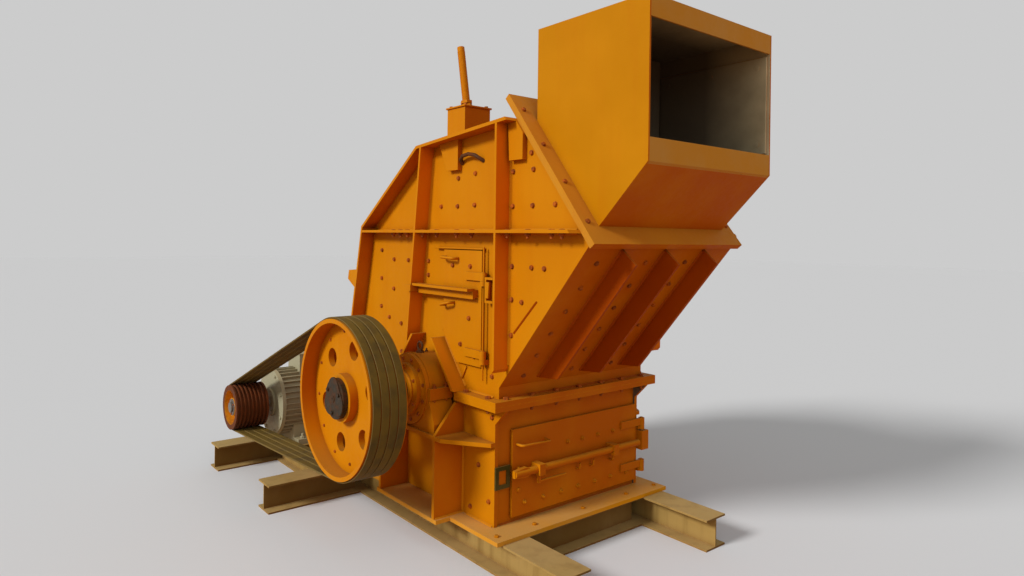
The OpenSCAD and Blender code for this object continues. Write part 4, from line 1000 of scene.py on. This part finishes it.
class CRUSHER_OT_pulleys(bpy.types.Operator):
    """Adds the end cover and screws of the large pulley and the bush of the small one"""
    bl_idname = "crusher.pulleys"
    bl_label = "Pulleys"

    # The keeper plate is round with shallow lobes
    KEEPER_T, KEEPER_R, KEEPER_POINTS = 0.010, 0.116, 60
    LOBES, LOBE_H, LOBE_TURN = 3, 0.017, math.radians(95)
    CENTRE_MARK = [(0.020, 0), (0.020, 0.004), (0.010, 0.004), (0.008, 0.001)]
    WEB_Y = -1.290
    BUSH_T = 0.006
    BUSH = [(0.042, 0), (0.068, 0), (0.066, BUSH_T), (0.044, BUSH_T)]
    KEY = ((-0.011, 0.036, 0), (0.011, 0.052, 0.010))

    def execute(self, context):
        self.large_pulley()
        self.small_pulley()
        return {"FINISHED"}

    def large_pulley(self):
        """A lobed keeper plate with three bolts on the shaft end, and balance screws in the web."""
        outline = []
        for i in range(self.KEEPER_POINTS):
            a = 2 * math.pi * i / self.KEEPER_POINTS
            r = self.KEEPER_R + self.LOBE_H * math.cos(self.LOBES * (a - self.LOBE_TURN))
            outline.append((r * math.cos(a), r * math.sin(a)))
        shaft_end = Vector((ROTOR.x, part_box("rotor_shaft")[0].y, ROTOR.z))
        front = shaft_end - Y_AXIS * self.KEEPER_T
        keeper = Heap((slab(outline, self.KEEPER_T), plane(shaft_end, X_AXIS, Z_AXIS)),
                      (turned(self.CENTRE_MARK, sides=16), stand(front, -Y_AXIS)))
        piece("wheel_keeper_plate", keeper, "oiled_shaft_steel", "rotor")
        bolts, screws = Heap(), Heap()
        bolt_ring(bolts, front, -Y_AXIS, radius=0.085, count=3, thread=0.014, first=math.radians(25))
        piece("wheel_keeper_bolts", bolts, "oiled_shaft_steel", "rotor")
        web = at(0, self.WEB_Y, ROTOR.z)
        bolt_ring(screws, web, -Y_AXIS, radius=0.408, count=12, thread=0.010, first=math.radians(7))
        piece("wheel_balance_screws", screws, BOLTS, "rotor")

    def small_pulley(self):
        """A split bush with three screws in the hub, and a key beside the shaft."""
        hub_in, key_out = 0.020, 0.004
        face = Vector((MOTOR.x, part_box("motor_pulley")[0].y + hub_in, MOTOR.z))
        bush = Heap((turned(self.BUSH, sides=32, hollow=True), stand(face, -Y_AXIS)),
                    (block(*self.KEY), plane(face - Y_AXIS * key_out, X_AXIS, Z_AXIS)))
        piece("motor_pulley_bush", bush, "turned_shaft_steel", "motor_rotor")
        screws = Heap()
        front = face - Y_AXIS * self.BUSH_T
        bolt_ring(screws, front, -Y_AXIS, radius=0.055, count=3, thread=0.008, first=math.radians(30))
        piece("motor_bush_screws", screws, BOLTS, "motor_rotor")


class CRUSHER_OT_bearings(bpy.types.Operator):
    """Adds seal rings, cover bolts, clamp bolts, grease nipples and lifting eyes to the bearings"""
    bl_idname = "crusher.bearings"
    bl_label = "Bearings"

    COVER_T, BODY_R, BAND_IN = 0.030, 0.230, 0.045
    # Ears that clamp the halves of a housing: out from the axis, half their height, and their bolts across
    EAR_X, EAR_Z, CLAMP_Y = 0.248, 0.036, 0.045
    FOOT_OUT, FOOT_T = 0.028, 0.025
    SEAL = [(0.088, 0), (0.122, 0), (0.122, 0.012), (0.114, 0.020), (0.088, 0.020)]
    BAND = [(0.224, 0), (0.236, 0), (0.236, 0.016), (0.224, 0.016)]
    NIPPLE = [(0.011, 0), (0.011, 0.012), (0.006, 0.014), (0.006, 0.024), (0.003, 0.028)]

    def execute(self, context):
        for side, _, out in SIDES:
            low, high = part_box(f"bearing_{side}")
            cover = Vector((ROTOR.x, low.y if side == "near" else high.y, ROTOR.z))
            middle = Vector((ROTOR.x, (low.y + high.y) / 2, ROTOR.z)) - out * self.COVER_T / 2
            self.housing(side, out, cover, middle)
        return {"FINISHED"}

    def housing(self, side, out, cover, middle):
        """Rings, bolts, eye and nipple of one housing. Only the near one has a seal and cover bolts."""
        sunk, nipple_sunk, nipple_y = 0.001, 0.004, 0.05
        body = cover - out * self.COVER_T
        ring, bolts, top = Heap(), Heap(), Heap()
        if side == "near":
            ring.add(turned(self.SEAL, sides=48, hollow=True), stand(cover - out * sunk, out))
        ring.add(turned(self.BAND, sides=64, hollow=True), stand(body - out * self.BAND_IN, out))
        piece(f"bearing_seal_ring_{side}", ring, ENAMEL)
        bolt_ring(bolts, body, out, radius=0.200, count=12, thread=0.012, first=math.radians(15))
        if side == "near":
            bolt_ring(bolts, cover, out, radius=0.146, count=6, thread=0.012, first=math.radians(30))
        under_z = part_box("bearing_near")[0].z - self.FOOT_T
        for turn in (-1, 1):
            for y in (-self.CLAMP_Y, self.CLAMP_Y):
                spot = middle + X_AXIS * self.EAR_X * turn + Y_AXIS * y
                hex_bolt(bolts, spot + Z_AXIS * self.EAR_Z, Z_AXIS, thread=0.015, stud=0.012)
                hex_bolt(bolts, spot - Z_AXIS * self.EAR_Z, -Z_AXIS, thread=0.015, stud=0.012)
                under = Vector((spot.x + turn * self.FOOT_OUT, spot.y, under_z))
                hex_bolt(bolts, under, -Z_AXIS, thread=0.018, stud=0.020)
        piece(f"bearing_bolts_{side}", bolts, BOLTS)
        eye_bolt(top, middle + Z_AXIS * self.BODY_R, X_AXIS, size=0.045)
        nipple = middle + Z_AXIS * (self.BODY_R - nipple_sunk) + Y_AXIS * nipple_y
        top.add(turned(self.NIPPLE, sides=10), stand(nipple, Z_AXIS))
        piece(f"bearing_lifting_eye_{side}", top, "hot_rolled_bar_steel")


class CRUSHER_OT_side_hardware(bpy.types.Operator):
    """Adds handles, bolts, the hinge rod and the trim of the side door and its panel"""
    bl_idname = "crusher.side_hardware"
    bl_label = "Side hardware"

    # Places along from the rotor axis and up from the floor
    HANDLES = (((0.165, 1.852), (0.305, 1.846)), ((0.165, 1.540), (0.265, 1.560)))
    DOOR_BOLTS = ((0.244, 1.800), (0.437, 1.800), (0.428, 1.473), (0.340, 1.300), (0.490, 1.240))
    STOP_BARS = ((0.112, 1.360, 0.128, 1.412), (0.330, 1.075, 0.378, 1.160))
    HINGE_ROD_Z = (1.105, 1.500, 1.925)
    WEDGE = [(0.000, 0.000), (0.026, 0.000), (0.034, 0.098), (-0.008, 0.098)]
    WEDGE_FOOT, WEDGE_OUT, WEDGE_T = (0.640, 1.615), 0.050, 0.012
    STRIP_FOOT, STRIP_SIZE = (0.035, 1.906), (0.530, 0.010, 0.030)
    # The bent lifting handle: along, up and out from the plate
    LIFTING_BAR = [(0.304, 2.456, 0.0), (0.318, 2.482, 0.030), (0.350, 2.500, 0.040), (0.415, 2.508, 0.042),
                   (0.480, 2.497, 0.040), (0.516, 2.476, 0.030), (0.529, 2.458, 0.0)]
    LIFTING_BAR_R, LIFTING_BAR_SUNK = 0.012, 0.003

    def execute(self, context):
        sizes = context.scene.crusher_sizes
        self.door(sizes)
        self.panel()
        for side, y, out in SIDES:
            path = [on_side(x, z, y) + out * (lift - self.LIFTING_BAR_SUNK)
                    for x, z, lift in self.LIFTING_BAR]
            handle = Heap((rod(path, self.LIFTING_BAR_R), Matrix()))
            piece(f"panel_lifting_handle_{side}", handle, "hot_rolled_bar_steel")
        return {"FINISHED"}

    def door(self, sizes):
        """Handles and bolts that swing with the door."""
        reach = 0.050
        handles, bolts = Heap(), Heap()
        for ends in self.HANDLES:
            start, end = [on_side(x, z, SIDE_LEAF_Y) for x, z in ends]
            handles.add(bent_handle(start, end, -Y_AXIS, reach, sizes.handle_bar))
        piece("side_door_handles", handles, ENAMEL, "side_door")
        for x, z in self.DOOR_BOLTS:
            hex_bolt(bolts, on_side(x, z, SIDE_LEAF_Y), -Y_AXIS, sizes.liner_thread)
        piece("side_door_bolts", bolts, BOLTS, "side_door")

    def panel(self):
        """The long hinge rod, stop bars, the keeper's wedge, and a drip strip over the door."""
        rod_r, sunk, bar_half, bar_t = 0.006, 0.001, 0.006, 0.012
        hinge = Vector((SIDE_HINGE.x, SIDE_HINGE.y, 0))
        bar = Heap((rod([hinge + Z_AXIS * z for z in self.HINGE_ROD_Z], rod_r), Matrix()))
        for x0, z0, x1, z1 in self.STOP_BARS:
            slant = Vector((x1 - x0, 0, z1 - z0)).normalized()
            foot = plane(on_side(x0, z0), slant, slant.cross(Y_AXIS))
            length = math.hypot(x1 - x0, z1 - z0)
            bar.add(block((0, -bar_half, -sunk), (length, bar_half, bar_t)), foot)
        wedge_foot = on_side(*self.WEDGE_FOOT, NEAR_Y - self.WEDGE_OUT)
        bar.add(slab(self.WEDGE, self.WEDGE_T), plane(wedge_foot, X_AXIS, Z_AXIS))
        piece("side_door_hinge_rod", bar, ENAMEL)
        strip_lie = plane(on_side(*self.STRIP_FOOT), X_AXIS, Z_AXIS)
        strip = Heap((block((0, 0, -sunk), self.STRIP_SIZE), strip_lie))
        piece("side_door_drip_strip", strip, ENAMEL)


class CRUSHER_OT_front_hardware(bpy.types.Operator):
    """Adds handles, bolts, hooks and the latch plate to the front door"""
    bl_idname = "crusher.front_hardware"
    bl_label = "Front hardware"

    LEAF = FRONT_LEAF_X - ROTOR.x
    # Places across from the rotor axis and up from the floor
    HANDLE = ((-0.485, 0.706), (-0.250, 0.698))
    GRIP_BOLTS = ((-0.470, 0.420), (-0.470, 0.550))
    # Outline of the flat grip: along the bar from its end, and up
    GRIP = [(0, -0.022), (0.090, -0.034), (0.125, -0.020), (0.125, 0.020), (0.090, 0.034), (0, 0.022)]
    HOOKS_Y = (0.035, 0.163, 0.356)
    UPPER_BOLTS_Y = (-0.051, 0.084, 0.235, 0.385)

    def execute(self, context):
        sizes = context.scene.crusher_sizes
        self.grips(sizes)
        self.bolts(sizes)
        self.latch()
        return {"FINISHED"}

    def grips(self, sizes):
        """The bent handle, the flat grip on the lock bar, and hooks that hold its pins."""
        reach = 0.055
        bar_z, bar_out = 0.540, 0.048
        grip_t, grip_past = 0.024, 0.006
        hook_z, hook_out, hook_up = 0.455, 0.034, 0.042
        hook_r, bend, sunk = 0.007, 0.014, 0.003
        start, end = [at(self.LEAF, y, z) for y, z in self.HANDLE]
        grips = Heap((bent_handle(start, end, X_AXIS, reach, sizes.handle_bar), Matrix()))
        grip_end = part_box("front_door_bar")[0].y - ROTOR.y - grip_past
        grip_place = at(self.LEAF + bar_out - grip_t / 2, grip_end, bar_z)
        grips.add(slab(self.GRIP, grip_t), plane(grip_place, Y_AXIS, Z_AXIS))
        for y in self.HOOKS_Y:
            foot = at(self.LEAF, y, hook_z)
            elbow = foot + X_AXIS * hook_out
            hook = [foot - X_AXIS * sunk, elbow, elbow + Z_AXIS * hook_up]
            grips.add(rod(rounded_path(hook, bend), hook_r))
        piece("front_door_grips", grips, ENAMEL, "front_door")

    def bolts(self, sizes):
        """Rows of bolts over and under the lock bar, and two beside its grip."""
        upper_z, lower_z, stud = 0.648, 0.335, 0.008
        first, last, pitch = -0.420, 0.520, 0.157
        places = [(y, upper_z, stud) for y in self.UPPER_BOLTS_Y]
        places += [(y, lower_z, stud) for y in spaced(first, last, pitch)]
        places += [(y, z, 0.0) for y, z in self.GRIP_BOLTS]
        heap = Heap()
        for y, z, end in places:
            hex_bolt(heap, at(self.LEAF, y, z), X_AXIS, sizes.liner_thread, end)
        piece("front_door_bolts", heap, ENAMEL, "front_door")

    def latch(self):
        """A bare latch plate on the front edge of the near side plate."""
        wide, tall = 0.112, 0.138
        rim_w, rim_t, panel_t, sunk = 0.026, 0.012, 0.004, 0.001
        back_end, back_depth, back_proud = 0.050, 0.016, 0.002
        edge_x, corner_y, corner_z = 0.677, -0.650, 0.452
        rim = [(0, 0), (wide, 0), (wide, tall), (0, tall)]
        back = block((rim_w, 0.0, -back_depth), (back_end, tall, back_proud))
        foot = at(edge_x, corner_y, corner_z)
        foot.x = min(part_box("lower_side_near")[1].x, foot.x) - sunk
        corner = plane(foot, Y_AXIS, Z_AXIS)
        latch_frame = Heap((frame_slab(rim, rim_w, rim_t), corner), (back, corner))
        piece("front_latch_frame", latch_frame, "olive_latch_enamel")
        panel = Heap((slab(inset(rim, rim_w - sunk), panel_t), corner))
        piece("front_latch_panel", panel, ENAMEL)


class CRUSHER_OT_door_seals(bpy.types.Operator):
    """Adds the rubber seals round both door openings"""
    bl_idname = "crusher.door_seals"
    bl_label = "Door seals"

    def execute(self, context):
        seal_in, seal_w, seal_t = 0.006, 0.018, 0.0038
        on_wall = at(FRONT_WALL_X - ROTOR.x, 0, 0)
        for door, outline, lie in (("side", SIDE_DOOR_OUTLINE, plane(on_side(0, 0), X_AXIS, Z_AXIS)),
                                   ("front", FRONT_DOOR_OUTLINE, plane(on_wall, Y_AXIS, Z_AXIS))):
            seal = frame_slab(inset(outline, seal_in), seal_w, seal_t)
            piece(f"{door}_door_seal", Heap((seal, lie)), "moulded_seal_rubber")
        return {"FINISHED"}


class CRUSHER_OT_motor_hardware(bpy.types.Operator):
    """Adds the motor's bolts, lifting eye, terminal box lid, gland and fan grille"""
    bl_idname = "crusher.motor_hardware"
    bl_label = "Motor hardware"

    # Places across from the rotor axis, and the feet out from the motor's axis and up from the floor
    SHIELD_Y, BOSS_Y, FAN_Y, EYE_Y = -1.060, -1.080, -0.180, -0.520
    FOOT_X, FOOT_Z, FOOT_ROWS = 0.276, 0.285, (-0.890, -0.433)
    FRAME_R, EYE_SUNK = 0.280, 0.004
    INLET_SHADE_DISC = [(0.225, -0.002), (0.225, 0.0015)]
    GLAND_NUT = [(0.034, 0), (0.034, 0.014)]
    GLAND_CAP = [(0.026, 0.012), (0.026, 0.030), (0.020, 0.036)]

    def along(self, y):
        """A point on the motor's axis."""
        return Vector((MOTOR.x, ROTOR.y + y, MOTOR.z))

    def execute(self, context):
        bolts, fittings = Heap(), Heap()
        shield, boss = self.along(self.SHIELD_Y), self.along(self.BOSS_Y)
        bolt_ring(bolts, shield, -Y_AXIS, radius=0.245, count=8, thread=0.014, first=math.radians(22.5))
        bolt_ring(bolts, boss, -Y_AXIS, radius=0.090, count=4, thread=0.010, first=math.radians(45))
        for y in self.FOOT_ROWS:
            for turn in (-1, 1):
                foot = Vector((MOTOR.x + turn * self.FOOT_X, ROTOR.y + y, self.FOOT_Z))
                hex_bolt(bolts, foot, Z_AXIS, thread=0.022, stud=0.020)
        piece("motor_bolts", bolts, "silver_motor_enamel")
        eye = self.along(self.EYE_Y) + Z_AXIS * (self.FRAME_R - self.EYE_SUNK)
        eye_bolt(fittings, eye, Y_AXIS, size=0.042)
        self.terminal_box(fittings)
        piece("motor_fittings", fittings, "silver_motor_enamel")
        self.grille()
        return {"FINISHED"}

    def terminal_box(self, fittings):
        """A lid with screws over the terminal box, and a blanked gland on its side."""
        half_x, y0, y1 = 0.125, -0.860, -0.620
        over, lid_low, lid_high = 0.008, 0.016, 0.001
        screw_in, gland_down, gland_sunk = 0.022, 0.070, 0.002
        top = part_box("motor_frame")[1].z
        low = Vector((MOTOR.x - half_x - over, ROTOR.y + y0 - over, top - lid_low))
        high = Vector((MOTOR.x + half_x + over, ROTOR.y + y1 + over, top - lid_high))
        fittings.add(block(low, high, edge=0.004))
        for x in (low.x + screw_in, high.x - screw_in):
            for y in (low.y + screw_in, high.y - screw_in):
                hex_bolt(fittings, Vector((x, y, high.z)), Z_AXIS, thread=0.009)
        hole = Vector((MOTOR.x + half_x - gland_sunk, ROTOR.y + (y0 + y1) / 2, top - gland_down))
        gland = stand(hole, X_AXIS)
        fittings.add(turned(self.GLAND_NUT, sides=6), gland)
        fittings.add(turned(self.GLAND_CAP, sides=20), gland)

    def grille(self):
        """A wire guard over the fan cover's air inlet, which is a thin black disc: painted shade in the opening.
        """
        wire, lift, hoops, first, pitch = 0.004, 0.007, 7, 0.040, 0.031
        rays, ray_from, ray_to = 8, 0.034, 0.236
        end = self.along(self.FAN_Y)
        inlet = Heap((turned(self.INLET_SHADE_DISC, sides=48), stand(end, Y_AXIS)))
        piece("motor_fan_inlet_shade", inlet, "moulded_seal_rubber")
        guard = Heap()
        face = end + Y_AXIS * lift
        for i in range(hoops):
            guard.add(hoop(face, X_AXIS, Z_AXIS, first + i * pitch, wire, sides=40))
        for i in range(rays):
            a = 2 * math.pi * i / rays
            ray = X_AXIS * math.cos(a) + Z_AXIS * math.sin(a)
            guard.add(rod([face + ray * ray_from, face + ray * ray_to], wire, sides=8))
        piece("motor_fan_guard", guard, "silver_motor_enamel")


class CRUSHER_OT_apron_gear(bpy.types.Operator):
    """Adds lids, bolts, lock nuts and threads to the spring boxes and the apron rods"""
    bl_idname = "crusher.apron_gear"
    bl_label = "Apron gear"

    BOX_Y, HALF_L, HALF_W, LID_T, LID_OVER = 0.390, 0.105, 0.1075, 0.012, 0.010
    BOLT_X, BOLT_Y = 0.086, 0.088
    ROD_X, ROD_R, LEAN = -0.020, 0.026, math.radians(10.8)
    THREAD_PITCH, THREAD_TOP = 0.007, 0.440
    # The thread's root below the rod's face, and its crest above it
    ROOT, CREST = 0.0004, 0.0016
    NUT_FOOT = 0.046
    NUT = [(0.043, 0), (0.044, 0.020), (0.037, 0.024)]

    def execute(self, context):
        sizes = context.scene.crusher_sizes
        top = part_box("spring_boxes")[1].z
        reach = Vector((self.HALF_L + self.LID_OVER, self.HALF_W + self.LID_OVER, 0))
        lids, bolts, gear = Heap(), Heap(), Heap()
        for side in (-1, 1):
            middle = at(0, side * self.BOX_Y, top)
            lids.add(block(middle - reach, middle + reach + Z_AXIS * self.LID_T))
            for x in (-self.BOLT_X, self.BOLT_X):
                for y in (-self.BOLT_Y, self.BOLT_Y):
                    hex_bolt(bolts, middle + Vector((x, y, self.LID_T)), Z_AXIS, sizes.liner_thread)
            self.threads(gear, at(self.ROD_X, side * self.BOX_Y, top))
        piece("spring_box_lids", lids, ENAMEL)
        piece("spring_box_bolts", bolts, BOLTS)
        piece("apron_rod_threads", gear, ENAMEL)
        return {"FINISHED"}

    def threads(self, gear, foot):
        """A lock nut over the nut, and the thread of the rod above it."""
        matrix = stand(foot, Vector((-math.sin(self.LEAN), 0, math.cos(self.LEAN))))
        gear.add(turned([(r, self.NUT_FOOT + h) for r, h in self.NUT], sides=6), matrix)
        profile = []
        for i in range(int((self.THREAD_TOP - self.NUT_FOOT) / self.THREAD_PITCH)):
            h = self.NUT_FOOT + i * self.THREAD_PITCH
            profile += [(self.ROD_R - self.ROOT, h), (self.ROD_R + self.CREST, h + self.THREAD_PITCH / 2)]
        gear.add(turned(profile, sides=20), matrix)


class CRUSHER_OT_hopper_liners(bpy.types.Operator):
    """Adds the liner plates and their countersunk bolts inside the hopper"""
    bl_idname = "crusher.hopper_liners"
    bl_label = "Hopper liners"

    HEAD = [(0.018, 0), (0.018, 0.002), (0.011, 0.003)]

    def execute(self, context):
        x0, x1, z0, z1 = 0.945, 1.735, 2.502, 3.084
        liner_t, sunk, rim = 0.008, 0.001, 0.003
        bolt_in, pitch = 0.060, 0.335
        plates, heads = Heap(), Heap()
        for y, into in ((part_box("hopper_side_near")[1].y, Y_AXIS), (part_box("hopper_side_far")[0].y, -Y_AXIS)):
            face = y + into.y * liner_t
            low_y, high_y = sorted((y - into.y * sunk, face))
            plates.add(block(on_side(x0, z0, low_y), on_side(x1, z1, high_y), rim))
            for x in spaced(x0 + bolt_in, x1 - bolt_in, pitch):
                for z in (z0 + bolt_in, z1 - bolt_in):
                    heads.add(turned(self.HEAD, sides=16), stand(on_side(x, z, face), into))
        piece("hopper_liner_plates", plates, "enamelled_hopper_plate")
        piece("hopper_liner_bolts", heads, "enamelled_hopper_plate")
        return {"FINISHED"}


class CRUSHER_OT_stage(bpy.types.Operator):
    """Sets the pale floor, the soft light and the camera"""
    bl_idname = "crusher.stage"
    bl_label = "Stage"

    def execute(self, context):
        scene = context.scene
        scene.view_settings.view_transform = "Standard"
        self.floor(scene, scene.crusher_stage, scene.crusher_colours)
        self.light(scene, scene.crusher_stage, scene.crusher_colours)
        self.camera(scene, scene.crusher_stage)
        return {"FINISHED"}

    def shown(self, tree):
        """One where a camera, glossy or transmitted ray meets the stage."""
        path = add(tree, "ShaderNodeLightPath").outputs
        seen = maths(tree, "MAXIMUM", path["Is Camera Ray"], path["Is Glossy Ray"])
        return maths(tree, "MAXIMUM", seen, path["Is Transmission Ray"])

    def floor(self, scene, stage, colours):
        """A wide pale paper floor that throws a warm light back up."""
        half, palest = 60.0, 0.95
        corners = [(-half, -half, 0), (half, -half, 0), (half, half, 0), (-half, half, 0)]
        mesh = bpy.data.meshes.new("studio_floor")
        mesh.from_pydata(corners, [], [(0, 1, 2, 3)])
        floor = bpy.data.objects.new("studio_floor", mesh)
        scene.collection.objects.link(floor)
        s = Surface("studio_floor_paper")
        pale = [min(palest, v * stage.floor_gain) for v in colours.backdrop[:3]] + [1.0]
        mesh.materials.append(s.shade(s.mixed(self.shown(s.tree), colours.bounce, pale), 0.9, 0.0))

    def light(self, scene, stage, colours):
        """A key light from the belt side, a broad weak one from the mouth, and an even fill all round."""
        lamps = (("key_light", stage.key, stage.key_from, stage.key_spread),
                 ("front_light", stage.front, stage.front_from, stage.front_spread))
        for name, energy, origin, spread in lamps:
            lamp = bpy.data.lights.new(name, "SUN")
            lamp.energy = energy
            lamp.angle = spread
            placed = bpy.data.objects.new(name, lamp)
            placed.rotation_euler = Vector(origin).to_track_quat("Z", "Y").to_euler()
            scene.collection.objects.link(placed)
        scene.world = bpy.data.worlds.new("studio_fill")
        scene.world.use_nodes = True
        tree = scene.world.node_tree
        colour = mixed(tree, self.shown(tree), [stage.fill] * 3 + [1.0], colours.backdrop)
        tree.links.new(colour, tree.nodes["Background"].inputs["Color"])

    def camera(self, scene, stage):
        """A camera at the photograph's viewing angle."""
        yaw, roll = stage.camera_yaw, stage.camera_roll
        back = Vector((math.sin(yaw), -math.cos(yaw), 0))
        right = Vector((math.cos(yaw), math.sin(yaw), 0))
        tilted_right = right * math.cos(roll) + Z_AXIS * math.sin(roll)
        tilted_up = Z_AXIS * math.cos(roll) - right * math.sin(roll)
        lens = bpy.data.cameras.new("camera")
        lens.sensor_fit = "HORIZONTAL"
        lens.sensor_width = SENSOR_WIDTH
        lens.lens = stage.focal / IMAGE_SIZE[0] * SENSOR_WIDTH
        lens.shift_y = (stage.axis_row - IMAGE_SIZE[1] / 2) / IMAGE_SIZE[0]
        lens.clip_end = CLIP_END
        camera = bpy.data.objects.new("camera", lens)
        turn = Matrix((tilted_right, tilted_up, back)).transposed().to_4x4()
        camera.matrix_world = Matrix.Translation(stage.camera_place) @ turn
        scene.collection.objects.link(camera)
        scene.camera = camera


OPERATORS = [CRUSHER_OT_finishes, CRUSHER_OT_liner_bolts, CRUSHER_OT_flange_bolts, CRUSHER_OT_welds,
             CRUSHER_OT_belts, CRUSHER_OT_pulleys, CRUSHER_OT_bearings, CRUSHER_OT_side_hardware,
             CRUSHER_OT_front_hardware, CRUSHER_OT_door_seals, CRUSHER_OT_motor_hardware,
             CRUSHER_OT_apron_gear, CRUSHER_OT_hopper_liners, CRUSHER_OT_stage]
GROUPS = {"crusher_colours": CrusherColours, "crusher_sizes": CrusherSizes, "crusher_stage": CrusherStage}


class CRUSHER_PT_panel(bpy.types.Panel):
    """Lists the steps that dress the crusher"""
    bl_idname = "CRUSHER_PT_panel"
    bl_label = "Impact crusher"
    bl_space_type = "VIEW_3D"
    bl_region_type = "UI"
    bl_category = "Crusher"

    def draw(self, context):
        for operator in OPERATORS:
            self.layout.operator(operator.bl_idname)
        for group in GROUPS:
            settings = getattr(context.scene, group)
            column = self.layout.column()
            for name in settings.__annotations__:
                column.prop(settings, name)


def register():
    for name, group in GROUPS.items():
        bpy.utils.register_class(group)
        setattr(bpy.types.Scene, name, PointerProperty(type=group))
    for cls in OPERATORS + [CRUSHER_PT_panel]:
        bpy.utils.register_class(cls)


def unregister():
    for cls in reversed(OPERATORS + [CRUSHER_PT_panel]):
        bpy.utils.unregister_class(cls)
    for name, group in GROUPS.items():
        delattr(bpy.types.Scene, name)
        bpy.utils.unregister_class(group)


def main():
    register()
    for operator in OPERATORS:
        space, name = operator.bl_idname.split(".")
        getattr(getattr(bpy.ops, space), name)()


if __name__ == "__main__":
    main()
